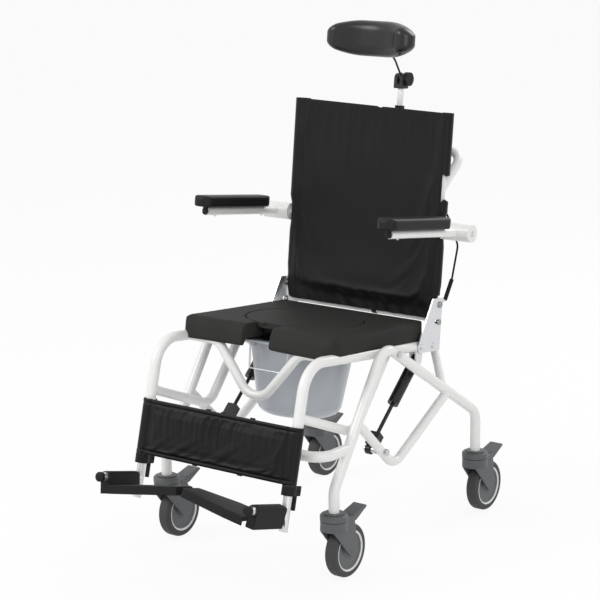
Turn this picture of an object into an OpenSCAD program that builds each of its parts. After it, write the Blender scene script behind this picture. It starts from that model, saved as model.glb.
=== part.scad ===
// Tilting shower commode chair: white tube frames, black seat, back and calf pad,
// swing-up armrests, headrest, footrests, commode pan and four braked castors.
// The front faces -Y, +X is the sitter's left, +Z is up, and the floor is Z = 0.

/* [Stance] */
// Height of the tilt pivot above the floor
pivot_h = 481; // [460:1:520]
// Tilt pivot behind the middle of the footprint
pivot_y = 22.5; // [10:0.05:40]
// Rake of the seat at rest, front edge raised, in degrees
rake = 6; // [2:0.5:10]

/* [Frame tubes] */
// Outside diameter of the main frame tubes
tube_d = 25; // [22:1:28]
// Bend radius of the base tubes
base_bend_r = 45; // [38:1:55]
// Bend radius at the front of the seat rails
rail_bend_r = 70; // [55:1:80]
// Gap between a seat rail and the base frame beside it
frame_gap = 8; // [7:0.5:14]
// Front castor stem ahead of the pivot
front_leg_y = 240; // [225:1:255]
// Rear castor stem behind the pivot
rear_leg_y = 362; // [340:1:385]
// Height of the bend in the front leg
front_bend_h = 214; // [204:1:226]
// Height of the bend in the rear leg
rear_bend_h = 262; // [250:1:275]

/* [Castors] */
// Diameter of a castor wheel
wheel_d = 125; // [115:1:130]
// Width of a castor tyre
wheel_w = 30; // [26:1:34]
// Trail of the wheel behind its stem
trail = 44; // [38:1:50]
// Height of a castor, floor to the foot of the leg tube
castor_h = 163; // [160:1:175]
// Diameter of the swivel head
swivel_d = 64; // [58:1:68]

/* [Seat] */
// Width of the seat
seat_w = 432; // [415:1:450]
// Depth of the seat
seat_depth = 396; // [380:1:400]
// Thickness of the seat
seat_t = 36; // [30:1:42]
// Front edge of the seat ahead of the pivot
seat_front_y = 214; // [208:1:222]
// Diameter of the opening in the seat
opening_d = 226; // [210:1:236]
// Width of the front slot in the seat
slot_w = 78; // [70:1:90]

/* [Back] */
// Middle of the back uprights behind the pivot
back_y = 211; // [208:0.5:214]
// Height of the recline pivot above the seat rail
recline_z = 97; // [92:1:104]
// Height of the top of the sling above the seat rail
back_top_z = 556; // [520:1:570]
// Reach of the push bar behind the uprights
push_reach = 96; // [80:1:110]

/* [Armrests] */
// Height of the armrest pivot above the seat rail
arm_z = 275; // [262:1:288]
// Length of the armrest tube ahead of its pivot
arm_reach = 295; // [280:1:315]

/* [Leg rest] */
// Seat corner of the hangers ahead of the pivot
hanger_y = 299; // [290:1:310]
// Length of the hangers below the seat rail
hanger_l = 280; // [272:1:290]
// Lean of the hangers, foot end forward, in degrees
hanger_lean = 8; // [5:0.5:12]
// Footplate axle below the seat rail, along the hanger
axle_drop = 324; // [318:1:332]
// Reach of the footplate axle ahead of the hanger
axle_reach = 134; // [130:1:150]

/* [Headrest] */
// Width of the headrest pad along its curve
head_w = 204; // [180:1:230]
// Height of the headrest pad
head_h = 86; // [80:1:98]
// Thickness of the headrest pad
head_t = 52; // [46:1:58]

/* [Hidden] */
$fn = 48;
overrun = 1;
fit = 0.05;
touch = 0.3;
eye_play = 2.6;
bend_lap_share = 0.03;
bend_slim_share = 0.99;

// Colours as photographed
white = [0.9, 0.9, 0.88];
silver = [0.75, 0.76, 0.77];
black = [0.09, 0.09, 0.1];
grey = [0.4, 0.42, 0.45];
tyre_grey = [0.25, 0.25, 0.26];
pan_grey = [0.66, 0.68, 0.7];

// Frames
rail_inset = 4;
upright_inset = 5;
arm_outset = 53;
rail_x = seat_w / 2 - rail_inset;
upright_x = rail_x - upright_inset;
arm_x = rail_x + arm_outset;
base_x = rail_x + tube_d + frame_gap;
tube_r = tube_d / 2;
apex_y = -42;
apex_z = 29;
front_knee = front_bend_h - pivot_h;
rear_knee = rear_bend_h - pivot_h;
foot_z = castor_h - pivot_h;
front_run = [-front_leg_y - apex_y, front_knee - apex_z];
rear_run = [rear_leg_y - apex_y, rear_knee - apex_z];
brace_front_share = 0.54;
brace_rear_share = 0.675;
brace_low_y = -1;
brace_low_z = -268;
bow_share = 0.715;
bow_y = -286;
post_share = 0.62;
post_d = 20;
post_cap_d = 22;
brace_d = 22;
post_inset = 26;
post_top = [rail_x - post_inset, 258, -38];
pivot_bolt_d = 10;
j_front_share = 0.42;
j_low = [-98, -178];
j_top_y = 20;
bolt_head_d = 16;
bolt_head_t = 5;

// Points of the base side in the plane of the frame, about the pivot
apex = [apex_y, apex_z];
brace_a = apex + brace_front_share * front_run;
brace_c = apex + brace_rear_share * rear_run;
brace_b = [brace_low_y, brace_low_z];
bow_a = apex + bow_share * front_run;
post_a = apex + post_share * rear_run;

// Gas springs
spring_share = 0.66;
spring_low = brace_a + spring_share * (brace_b - brace_a);
stud_d = 8;
eye_d = 24;
eye_t = 12;
rod_d = 9;
spring_d = 27;
lug_y = 143;
lug_z = -31;
lug_t = 4;
lug_d = 26;
spring_stroke = 84;
cyl_neck = 22;
rod_in = 12;
head_block = [26, 34, 22];
cable_d = 4;

// Castors
castor_trim = 3;
swivel_h = 17;
seam_gap = 0.6;
swivel_lip_d = 46;
swivel_lip_h = 3;
stem_d = 18;
stem_l = 24;
housing_h = 24;
housing_rear = 52;
housing_w = 46;
fork_t = 6;
fork_foot_r = 13;
axle_d = 10;
wheel_gap = 1.2;
tyre_shoulder = 7;
tyre_depth = 14.5;
hub_dish = 4;
ring_w = 2.2;
hub_boss_d = 30;
pedal_w = 36;
pedal_reach = 108;
pedal_rise = 17;
pedal_root_y = 45;
pedal_t = 12;
pedal_pin_d = 6;
pedal_drop = 10;
kingpin_d = 14;
kingpin_l = 9;

// Seat, pan and lid
seat_gap = 1.5;
seat_z = tube_r + seat_gap;
seat_r = 38;
seat_edge = 9;
seat_front_slope = 20;
opening_y = -22;
lid_gap = 0.7;
lid_t = 26;
lid_lip = 9;
lid_lip_t = 6;
lid_notch_d = 44;
rail_w = 22;
rail_h = 14;
pan_half = 138;
pan_rim_t = 5;
pan_rim_r = 40;
pan_top_d = 252;
pan_low_d = 204;
pan_depth = 176;
pan_wall = 3.5;
pan_lip_h = 16;
pan_round = 30;
pan_round_steps = 5;
bail_d = 4;
bail_half = 56;
bail_drop = 58;
boss_d = 12;
boss_l = 9;
block_w = 26;
block_l = 34;

// Front cross tube of the seat frame, with its dip
dip_d = 22;
dip_y = -196;
dip_depth = 112;
dip_shoulder_x = 118;
dip_low_x = 26;
dip_bend_r = 47;

// Back
upright_top_z = 540;
upright_low_z = 44;
bar_z = 64;
bar_d = 22;
plate_t = 3;
plate_gap = 0.2;
plate_head_t = 2.6;
slot_r = 42;
slot_pin_d = 8;
recline_max = 20;
push_d = 22;
push_z = 368;
push_rise = 90;
push_bend_r = 45;
sling_t = 9;
sling_wall = 4;
sling_low_z = 78;
sling_crown = 7;
sling_fold_z = 118;
sling_fold = 5;
arm_gap_low_z = 246;
arm_gap_top_z = 304;
push_gap_low_z = 346;
push_gap_top_z = 406;
sleeve_low_z = 120;
wire_d = 5;

// Armrests
sleeve_d = 42;
sleeve_out = 39;
sleeve_in = 19;
sleeve_out_x = arm_x + sleeve_out;
sleeve_in_x = upright_x + sleeve_in;
arm_d = 20;
arm_pin_d = 16;
arm_cap_l = 6;
pad_w = 50;
pad_t = 27;
pad_front = 29;
pad_rear = 62;
pad_l = arm_reach + pad_front - pad_rear;
pad_nose = 24;
pad_gap = 1;
pad_round = 10;
arm_rise = 1.6;
screw_d = 9;
screw_h = 4;
screw_shares = [0.12, 0.75];

// Leg rest
leg_d = 20;
leg_in = 112;
leg_out = 48;
leg_foot_w = 9;
clamp_d = 34;
clamp_h = 24;
clamp_lug = 15;
lever_l = 46;
lever_w = 12;
lever_t = 9;
calf_top = 140;
calf_low = 268;
calf_wall = 5;
calf_crown = 5;
calf_binding = 11;
plate_drop = 17;
plate_rise = 9;
plate_skirt = 22;
plate_rear = 30;
plate_front = 132;
plate_inner_front = 118;
plate_inner_rear = 58;
plate_mid_gap = 9;
plate_skin = 4;
sleeve_wall = 4;
sleeve_rear = 14;
sleeve_front = 124;
sleeve_corner = 9;
rib_t = 3;
rib_count = 4;
axle_tube_d = 20;
axle_cap_l = 7;

// Headrest
head_bar_y = 327;
head_bar_w = 14;
head_bar_t = 6;
head_bar_low = 300;
head_bar_top = 598;
holder_w = 34;
holder_d = 30;
holder_low = 430;
holder_top = 546;
holder_neck = 3;
holder_neck_h = 10;
joint_d = 26;
joint_w = 26;
joint_z = 622;
head_stem_d = 7;
head_stem_mid = [-32, 40];
head_y = 208;
head_z = 713;
head_curve_r = 190;
head_knob_d = 34;
head_knob_w = 12;
head_knob_lobes = 6;
head_shaft_d = 8;
head_shaft_l = 22;
grip_w = 64;
grip_t = 9;
grip_reach = 58;
lever_x = 118;

// Geometry helpers

function unit(v) = v / norm(v);
function in_plane(x, p) = [x, p[0], p[1]];
function hanger_at(drop) = [-hanger_y - drop * tan(hanger_lean), -drop];

// Round bar from a to b
module rod(a, b, d) {
    v = b - a;
    translate(a)
        rotate([0, acos(v.z / norm(v)), atan2(v.y, v.x)])
            cylinder(h = norm(v), d = d);
}

// Direction across u that lies towards v
function across(u, v) = unit(v - (v * u) * u);
function any_across(u) = unit(abs(u.z) < 0.9 ? cross(u, [0, 0, 1]) : cross(u, [1, 0, 0]));

// Runs, bends and twists of a tube through pts, bent to radius r
function dirs(pts) = [for (i = [1:len(pts) - 1]) unit(pts[i] - pts[i - 1])];
function turns(u) = [for (i = [1:len(u) - 1]) acos(u[i - 1] * u[i])];
function carried(u0, u1) = across(u0, u1) * (u0 * u1) - norm(cross(u0, u1)) * u0;
function twists(u) = [for (i = [1:len(u) - 1]) i == len(u) - 1 ? 0 :
    atan2(cross(carried(u[i - 1], u[i]), across(u[i], u[i + 1])) * u[i],
        carried(u[i - 1], u[i]) * across(u[i], u[i + 1]))];
function runs(pts, t, r) = [for (i = [1:len(pts) - 1]) norm(pts[i] - pts[i - 1])
    - (i > 1 ? r * tan(t[i - 2] / 2) : 0) - (i < len(pts) - 1 ? r * tan(t[i - 1] / 2) : 0)];

// Tube through pts, bent to radius r at each inner point
module bent_tube(pts, d, r) {
    u = dirs(pts);
    t = turns(u);
    ex = across(u[0], u[1]);
    ey = cross(u[0], ex);
    multmatrix([
        [ex.x, ey.x, u[0].x, pts[0].x],
        [ex.y, ey.y, u[0].y, pts[0].y],
        [ex.z, ey.z, u[0].z, pts[0].z],
        [0, 0, 0, 1]
    ])
        tube_run(runs(pts, t, r), t, twists(u), d, r, 0);
}

// One straight run along +Z, the bend after it towards +X, and the rest of the tube.
// A bend is a hair slimmer than its runs, which lap over its ends.
module tube_run(lengths, angles, turned, d, r, i) {
    lap = d * bend_lap_share;
    before = i > 0 ? lap : 0;
    after = i < len(angles) ? lap : 0;
    translate([0, 0, -before])
        cylinder(h = lengths[i] + before + after, d = d);
    if (i < len(angles))
        translate([0, 0, lengths[i]]) {
            translate([r, 0, 0])
                multmatrix([[-1, 0, 0, 0], [0, 0, 1, 0], [0, 1, 0, 0], [0, 0, 0, 1]])
                    rotate_extrude(angle = angles[i])
                        translate([r, 0])
                            circle(d = d * bend_slim_share);
            translate([r, 0, 0])
                rotate([0, angles[i], 0])
                    translate([-r, 0, 0])
                        rotate([0, 0, turned[i]])
                            tube_run(lengths, angles, turned, d, r, i + 1);
        }
}

// Cylinder along X, centred on x
module pin_x(x, d, l) {
    translate([x - l / 2, 0, 0])
        rotate([0, 90, 0])
            cylinder(h = l, d = d);
}

// Plate of a YZ outline, from x0 with thickness t
module plate_x(x0, t) {
    translate([x0, 0, 0])
        rotate([90, 0, 90])
            linear_extrude(t)
                children();
}

// Prism of an XZ outline, from y0 with length l towards +Y
module prism_y(y0, l) {
    translate([0, y0 + l, 0])
        rotate([90, 0, 0])
            linear_extrude(l)
                children();
}

// Rectangle with round corners, centred
module round_rect(w, h, r) {
    square([w - 2 * r, h], center = true);
    square([w, h - 2 * r], center = true);
    for (x = [-1, 1], y = [-1, 1])
        translate([x * (w / 2 - r), y * (h / 2 - r)])
            circle(r);
}

// Closed panel of w by h standing in XZ, whose front sits at -t less the bulge at each place
module padded_panel(w, h, t, cols, rows, bulge) {
    n = (cols + 1) * (rows + 1);
    front = [for (j = [0:rows], i = [0:cols])
        [w * (i / cols - 1 / 2), -t - bulge[j][i], h * j / rows]];
    rear = [for (j = [0:rows], i = [0:cols]) [w * (i / cols - 1 / 2), 0, h * j / rows]];
    function at(i, j) = j * (cols + 1) + i;
    quads = [for (j = [0:rows - 1], i = [0:cols - 1])
        [at(i, j), at(i + 1, j), at(i + 1, j + 1), at(i, j + 1)]];
    edge = concat(
        [for (i = [0:cols - 1]) at(i, 0)],
        [for (j = [0:rows - 1]) at(cols, j)],
        [for (i = [cols:-1:1]) at(i, rows)],
        [for (j = [rows:-1:1]) at(0, j)]);
    m = len(edge);
    faces = concat(
        [for (q = quads) [q[0], q[2], q[1]]],
        [for (q = quads) [q[0], q[3], q[2]]],
        [for (q = quads) [n + q[0], n + q[1], n + q[2]]],
        [for (q = quads) [n + q[0], n + q[2], n + q[3]]],
        [for (k = [0:m - 1]) [edge[k], edge[(k + 1) % m], n + edge[(k + 1) % m]]],
        [for (k = [0:m - 1]) [edge[k], n + edge[(k + 1) % m], n + edge[k]]]);
    polyhedron(concat(front, rear), faces);
}

// Places

module at_pivot() {
    translate([0, pivot_y, pivot_h])
        children();
}

module at_seat() {
    at_pivot()
        rotate([-rake, 0, 0])
            children();
}

// Frame at the hanger's top on one side, with -Z running down the hanger
module at_hanger(side) {
    at_seat()
        translate([side * rail_x, -hanger_y, 0])
            rotate([-hanger_lean, 0, 0])
                children();
}

module at_castor(side, y) {
    translate([side * base_x, pivot_y + y, 0])
        children();
}

// Base frame

module base_side(side) {
    x = side * base_x;
    color(white) at_pivot() difference() {
        union() {
            bent_tube([
                [x, -front_leg_y, foot_z],
                [x, -front_leg_y, front_knee],
                in_plane(x, apex),
                [x, rear_leg_y, rear_knee],
                [x, rear_leg_y, foot_z]
            ], tube_d, base_bend_r);
            bent_tube([in_plane(x, brace_a), in_plane(x, brace_b), in_plane(x, brace_c)],
                brace_d, base_bend_r);
            rod(in_plane(x, post_a), [side * post_top.x, post_top.y, post_top.z], post_d);
            translate([side * post_top.x, post_top.y, post_top.z])
                sphere(d = post_cap_d);
        }
        pin_x(x, pivot_bolt_d + 2 * fit, tube_d + 2 * overrun);
        translate([0, spring_low[0], spring_low[1]])
            pin_x(x, stud_d + 2 * fit, tube_d + 2 * overrun);
        for (y = [-front_leg_y, rear_leg_y])
            translate([x, y, foot_z - overrun])
                cylinder(h = stem_l + overrun, d = stem_d + 2 * fit);
    }
}

module base_bow() {
    color(white) at_pivot() difference() {
        bent_tube([
            in_plane(base_x, bow_a),
            [base_x, bow_y, bow_a[1]],
            [-base_x, bow_y, bow_a[1]],
            in_plane(-base_x, bow_a)
        ], tube_d, base_bend_r);
        for (side = [-1, 1])
            rod(in_plane(side * base_x, apex), [side * base_x, -front_leg_y, front_knee], tube_d);
    }
}

// Bolts that hang the seat frame between the base sides
module pivot_bolts() {
    inner = rail_x - tube_r - bolt_head_t;
    outer = base_x + tube_r + bolt_head_t;
    color(silver) at_pivot() for (side = [-1, 1]) {
        pin_x(side * (inner + outer) / 2, pivot_bolt_d, outer - inner);
        pin_x(side * (outer - bolt_head_t / 2), bolt_head_d, bolt_head_t);
        pin_x(side * (inner + bolt_head_t / 2 - touch), bolt_head_d, bolt_head_t);
    }
}

// Studs on the braces for the lower eyes of the gas springs
module spring_studs() {
    inner = rail_x - eye_t / 2 - bolt_head_t;
    outer = base_x + tube_r + bolt_head_t;
    color(silver) at_pivot() translate([0, spring_low[0], spring_low[1]]) for (side = [-1, 1]) {
        pin_x(side * (inner + outer) / 2, stud_d, outer - inner);
        pin_x(side * (outer - bolt_head_t / 2), bolt_head_d, bolt_head_t);
        pin_x(side * (inner + bolt_head_t / 2 - touch), bolt_head_d, bolt_head_t);
        pin_x(side * (base_x - tube_r - (base_x - tube_r - rail_x - eye_t / 2 - touch) / 2),
            bolt_head_d, base_x - tube_r - rail_x - eye_t / 2 - touch);
    }
}

// Castors

// Fixed swivel head with its stem up the leg tube
module castor_tops() {
    low = castor_h - swivel_h;
    color(grey) for (side = [-1, 1], y = [-front_leg_y, rear_leg_y]) at_castor(side, y) {
        translate([0, 0, castor_h])
            cylinder(h = stem_l, d = stem_d);
        rotate_extrude()
            polygon([
                [0, low + kingpin_l + touch], [kingpin_d / 2 + fit, low + kingpin_l + touch],
                [kingpin_d / 2 + fit, low], [swivel_d / 2, low], [swivel_d / 2, castor_h - castor_trim * 2],
                [swivel_d / 2 - castor_trim, castor_h - castor_trim],
                [swivel_lip_d / 2, castor_h - castor_trim], [swivel_lip_d / 2, castor_h], [0, castor_h]
            ]);
    }
}

module wheel_room() {
    translate([0, trail, wheel_d / 2])
        pin_x(0, wheel_d + 4 * wheel_gap, wheel_w + 2 * wheel_gap);
}

// Fork: round housing, swept arms and the axle
module fork(side, y) {
    top = castor_h - swivel_h - seam_gap;
    low = top - housing_h;
    arm_x = wheel_w / 2 + wheel_gap;
    color(grey) at_castor(side, y) {
        difference() {
            union() {
                translate([0, 0, low])
                    cylinder(h = housing_h, d = swivel_d);
                translate([-housing_w / 2, 0, low])
                    cube([housing_w, housing_rear, housing_h]);
                for (s = [-1, 1])
                    plate_x(s > 0 ? arm_x : -arm_x - fork_t, fork_t)
                        polygon([
                            [-swivel_d / 2 + fork_t, top - housing_h / 2],
                            [-swivel_d / 2 + fork_t, low],
                            [trail - fork_foot_r, wheel_d / 2 - fork_foot_r / 2],
                            [trail, wheel_d / 2 - fork_foot_r],
                            [trail + fork_foot_r, wheel_d / 2 - fork_foot_r / 2],
                            [housing_rear + fork_t, low], [housing_rear, top - housing_h / 2]
                        ]);
            }
            wheel_room();
            translate([0, pedal_root_y, castor_h - swivel_h - pedal_drop])
                pin_x(0, pedal_t + 2 * touch, pedal_w + 2 * touch);
            translate([-pedal_w / 2 - touch, pedal_root_y, top - housing_h])
                cube([pedal_w + 2 * touch, housing_rear, housing_h + overrun]);
        }
        translate([0, trail, wheel_d / 2])
            pin_x(0, axle_d, 2 * (arm_x + fork_t));
        translate([0, pedal_root_y, castor_h - swivel_h - pedal_drop])
            pin_x(0, pedal_pin_d, housing_w);
        translate([0, 0, top - castor_trim])
            cylinder(h = castor_trim + seam_gap + kingpin_l, d = kingpin_d);
    }
}

module hub(side, y) {
    rim_r = wheel_d / 2 - tyre_depth;
    half = wheel_w / 2;
    color(grey) at_castor(side, y)
        translate([0, trail, wheel_d / 2])
            rotate([0, 90, 0])
                rotate_extrude()
                    polygon([
                        [axle_d / 2 + fit, -half], [hub_boss_d / 2, -half],
                        [hub_boss_d / 2 + hub_dish, -half + hub_dish],
                        [rim_r - ring_w - hub_dish, -half + hub_dish], [rim_r - ring_w, -half],
                        [rim_r, -half], [rim_r, half],
                        [rim_r - ring_w, half], [rim_r - ring_w - hub_dish, half - hub_dish],
                        [hub_boss_d / 2 + hub_dish, half - hub_dish], [hub_boss_d / 2, half],
                        [axle_d / 2 + fit, half]
                    ]);
}

module tyre(side, y) {
    rim_r = wheel_d / 2 - tyre_depth;
    color(tyre_grey) at_castor(side, y)
        translate([0, trail, wheel_d / 2])
            rotate([0, 90, 0])
                rotate_extrude()
                    difference() {
                        union() {
                            translate([rim_r, -wheel_w / 2])
                                square([tyre_depth - tyre_shoulder, wheel_w]);
                            translate([rim_r, -wheel_w / 2 + tyre_shoulder])
                                square([tyre_depth, wheel_w - 2 * tyre_shoulder]);
                            for (s = [-1, 1])
                                translate([wheel_d / 2 - tyre_shoulder, s * (wheel_w / 2 - tyre_shoulder)])
                                    circle(tyre_shoulder);
                        }
                        translate([rim_r - wheel_w, -wheel_w])
                            square([wheel_w, 2 * wheel_w]);
                    }
}

// Brake pedal, a wedge that rises to the rear
module pedal(side, y) {
    z = castor_h - swivel_h - pedal_drop;
    color(grey) at_castor(side, y) difference() {
        translate([0, pedal_root_y, z]) {
            pin_x(0, pedal_t, pedal_w);
            plate_x(-pedal_w / 2, pedal_w)
                polygon([
                    [0, -pedal_t / 2], [housing_rear - pedal_root_y + pedal_t, -pedal_t / 2],
                    [pedal_reach - pedal_root_y, pedal_rise], [pedal_reach - pedal_root_y - pedal_t / 2, pedal_rise + pedal_t / 2],
                    [pedal_t, pedal_rise / 2 + pedal_t / 4], [0, pedal_t / 2]
                ]);
        }
        translate([0, pedal_root_y, z])
            pin_x(0, pedal_pin_d + 2 * fit, pedal_w + 2 * overrun);
    }
}

// Tilting seat frame

module seat_frame(side) {
    x = side * rail_x;
    foot = hanger_at(hanger_l * cos(hanger_lean));
    j_front = hanger_at(hanger_l * j_front_share);
    color(white) {
        at_seat() difference() {
            union() {
                bent_tube([[x, back_y, 0], [x, -hanger_y, 0], in_plane(x, foot)], tube_d, rail_bend_r);
                bent_tube([in_plane(x, j_front), in_plane(x, j_low), [x, j_top_y, 0]], brace_d, base_bend_r);
                for (s = [-1, 1])
                    plate_x(x + s * (eye_t / 2 + touch + lug_t / 2) - lug_t / 2, lug_t)
                        difference() {
                            union() {
                                translate([lug_y, lug_z])
                                    circle(d = lug_d);
                                translate([lug_y - lug_d / 2, lug_z])
                                    square([lug_d, -lug_z]);
                            }
                        }
                translate([0, lug_y, lug_z])
                    pin_x(x, stud_d, eye_t + 2 * touch + 2 * lug_t);
            }
            pin_x(x, pivot_bolt_d + 2 * fit, tube_d + 2 * overrun);
            for (y = plate_bolts_y())
                translate([0, y, 0])
                    pin_x(x + side * tube_r, slot_pin_d + 2 * fit, tube_d);
            at_hanger_bore(x);
        }
    }
}

function plate_bolts_y() = [lug_y + 3 * slot_pin_d / 8, back_y - 2 * slot_pin_d];

// Bore for the telescopic leg in the foot of a hanger
module at_hanger_bore(x) {
    translate([x, -hanger_y, 0])
        rotate([-hanger_lean, 0, 0])
            translate([0, 0, -hanger_l - overrun])
                cylinder(h = leg_in + 2 * overrun, d = leg_d + 3 * fit);
}

module front_dip() {
    low_z = -dip_depth;
    color(white) at_seat() difference() {
        bent_tube([
            [-rail_x, dip_y, 0], [-dip_shoulder_x, dip_y, 0], [-dip_low_x, dip_y, low_z],
            [dip_low_x, dip_y, low_z], [dip_shoulder_x, dip_y, 0], [rail_x, dip_y, 0]
        ], dip_d, dip_bend_r);
        for (side = [-1, 1])
            rod([side * rail_x, back_y, 0], [side * rail_x, -hanger_y, 0], tube_d);
    }
}

// Curved slot about the recline bolt, in the YZ plane
module recline_slot() {
    half = slot_pin_d / 2 + touch;
    spread = slot_r + slot_pin_d;
    translate([back_y, recline_z]) {
        intersection() {
            difference() {
                circle(slot_r + half);
                circle(slot_r - half);
            }
            polygon([
                [0, 0], [-spread * sin(recline_max), -spread * cos(recline_max)],
                [-spread * sin(recline_max / 2), -spread], [0, -spread]
            ]);
        }
        for (a = [0, recline_max])
            translate([-slot_r * sin(a), -slot_r * cos(a)])
                circle(half + fit);
    }
}

// Triangular plate that carries the back, with its curved recline slot and rail bolts
module hinge_plate(side) {
    low = -tube_r - plate_t / 2;
    rear = back_y + tube_r - plate_t / 2;
    x0 = rail_x + tube_r + plate_gap;
    bolt_l = tube_r + plate_gap + plate_t;
    color(silver) at_seat() {
        difference() {
            plate_x(side > 0 ? x0 : -x0 - plate_t, plate_t) difference() {
                polygon([
                    [rear - tube_d - bolt_head_d, recline_z + bolt_head_d], [rear, recline_z + bolt_head_d],
                    [rear, low], [lug_y - slot_pin_d, low], [lug_y - bolt_head_d, -low / 4]
                ]);
                recline_slot();
            }
            translate([0, back_y, recline_z])
                pin_x(side * (x0 + plate_t / 2), pivot_bolt_d + 2 * fit, plate_t + 2 * overrun);
        }
        for (y = plate_bolts_y())
            translate([0, y, 0]) {
                pin_x(side * (rail_x + tube_r / 4 + bolt_l / 2), slot_pin_d, bolt_l);
                pin_x(side * (x0 + plate_t + plate_head_t / 2), bolt_head_d, plate_head_t);
            }
    }
}

// Moulded seat with its opening and front slot
module seat_pad() {
    mid_y = seat_depth / 2 - seat_front_y;
    color(black) at_seat() difference() {
        intersection() {
            translate([0, mid_y, seat_z])
                linear_extrude(seat_t)
                    round_rect(seat_w, seat_depth, seat_r);
            plate_x(-seat_w / 2, seat_w)
                polygon([
                    [-seat_front_y + seat_edge, seat_z], [-seat_front_y, seat_z + seat_edge / 2],
                    [-seat_front_y + seat_front_slope, seat_z + seat_t - seat_edge / 2],
                    [-seat_front_y + seat_front_slope + seat_edge, seat_z + seat_t],
                    [seat_depth - seat_front_y - seat_edge, seat_z + seat_t],
                    [seat_depth - seat_front_y, seat_z + seat_t - seat_edge],
                    [seat_depth - seat_front_y, seat_z]
                ]);
            prism_y(-seat_front_y, seat_depth)
                polygon([
                    [-seat_w / 2 + seat_edge / 2, seat_z], [-seat_w / 2, seat_z + seat_edge],
                    [-seat_w / 2, seat_z + seat_t - seat_edge], [-seat_w / 2 + seat_edge, seat_z + seat_t],
                    [seat_w / 2 - seat_edge, seat_z + seat_t], [seat_w / 2, seat_z + seat_t - seat_edge],
                    [seat_w / 2, seat_z + seat_edge], [seat_w / 2 - seat_edge / 2, seat_z]
                ]);
        }
        translate([0, opening_y, seat_z - overrun])
            cylinder(h = seat_t + 2 * overrun, d = opening_d);
        translate([0, opening_y, seat_z + seat_t - lid_lip_t])
            cylinder(h = lid_lip_t + overrun, d = opening_d + 2 * lid_lip);
        translate([-slot_w / 2, -seat_front_y - overrun, seat_z - overrun])
            cube([slot_w, seat_front_y + opening_y + overrun, seat_t + 2 * overrun]);
    }
}

// Lid that drops into the opening, with a finger notch at the front
module seat_lid() {
    top = seat_z + seat_t;
    color(black) at_seat() translate([0, opening_y, 0]) difference() {
        union() {
            translate([0, 0, top - lid_t])
                cylinder(h = lid_t, d = opening_d - 2 * lid_gap);
            translate([0, 0, top - lid_lip_t])
                cylinder(h = lid_lip_t, d = opening_d + 2 * lid_lip - 2 * lid_gap);
        }
        translate([0, -opening_d / 2 - lid_lip, top - lid_t - overrun])
            cylinder(h = lid_t + 2 * overrun, d = lid_notch_d);
    }
}

// Slide rails for the pan under the seat, with the rubber feet of the seat
module pan_rails() {
    inner = pan_half - rail_w / 2;
    y0 = dip_y + dip_d;
    l = seat_depth - seat_front_y - y0 - seat_edge;
    low = seat_z - rail_h - pan_rim_t;
    color(black) at_seat() {
        for (side = [-1, 1]) {
            difference() {
                translate([side > 0 ? inner : -inner - rail_w, y0, low])
                    cube([rail_w, l, seat_z - low]);
                translate([side > 0 ? inner - overrun : -pan_half - touch, y0 - overrun, seat_z - rail_h / 2 - pan_rim_t - touch])
                    cube([rail_w / 2 + touch + overrun, l + 2 * overrun, pan_rim_t + 2 * touch]);
            }
            for (y = [-seat_front_y + block_l, seat_depth - seat_front_y - 2 * block_l])
                difference() {
                    translate([side * (rail_x - block_w / 2) - block_w / 2, y, 0])
                        cube([block_w, block_l, seat_z]);
                    rod([side * rail_x, back_y, 0], [side * rail_x, -hanger_y, 0], tube_d);
                    rod([-rail_x, dip_y, 0], [rail_x, dip_y, 0], dip_d);
                }
        }
    }
}

// Half section of the bucket, set in by a wall, with a round foot
function pan_side(wall) = concat(
    [[0, -pan_lip_h], [0, wall - pan_depth]],
    [for (k = [0:pan_round_steps]) [
        pan_low_d / 2 - pan_round + (pan_round - wall) * sin(90 * k / pan_round_steps),
        pan_round - pan_depth - (pan_round - wall) * cos(90 * k / pan_round_steps)]],
    [[pan_top_d / 2 - pan_wall - wall, -pan_lip_h]]);

// Commode pan: flanged rim, tapered bucket
module pan() {
    rim_z = seat_z - rail_h / 2 - pan_rim_t;
    color(pan_grey) at_seat() translate([0, opening_y, rim_z]) {
        difference() {
            union() {
                linear_extrude(pan_rim_t)
                    round_rect(2 * pan_half, 2 * pan_half, pan_rim_r);
                translate([0, 0, -pan_lip_h])
                    cylinder(h = pan_lip_h, d = pan_top_d);
                rotate_extrude()
                    polygon(pan_side(0));
                for (side = [-1, 1])
                    translate([0, boss_d / 2 - pan_half, -boss_d / 4])
                        pin_x(side * (bail_half - boss_l / 2 - bail_d * 3 / 2), boss_d, boss_l);
            }
            rotate_extrude()
                polygon(pan_side(pan_wall));
            translate([0, 0, -pan_lip_h])
                cylinder(h = pan_lip_h + pan_rim_t + overrun, d = pan_top_d - 4 * pan_wall);
            translate([0, boss_d / 2 - pan_half, -boss_d / 4])
                pin_x(0, bail_d + 2 * fit, 2 * bail_half);
        }
    }
}

// Wire bail that hangs at the front of the pan
module pan_bail() {
    rim_z = seat_z - rail_h / 2 - pan_rim_t;
    y = opening_y - pan_half + boss_d / 2;
    z = rim_z - boss_d / 4;
    inner = bail_half - bail_d * 3 / 2 - boss_l;
    color(silver) at_seat() {
        bent_tube([
            [-inner, y, z], [-bail_half, y, z], [-bail_half + bail_d, y - bail_d, z - bail_drop],
            [bail_half - bail_d, y - bail_d, z - bail_drop], [bail_half, y, z], [inner, y, z]
        ], bail_d, bail_d);
    }
}

// Gas springs, built along +Y from the lower stud

function lug_world() = [lug_y * cos(rake) + lug_z * sin(rake), -lug_y * sin(rake) + lug_z * cos(rake)];
function spring_run() = lug_world() - spring_low;
function spring_len() = norm(spring_run());
function spring_angle() = atan2(spring_run()[1], spring_run()[0]);

module at_spring(side) {
    at_pivot()
        translate([side * rail_x, spring_low[0], spring_low[1]])
            rotate([spring_angle(), 0, 0])
                children();
}

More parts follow.
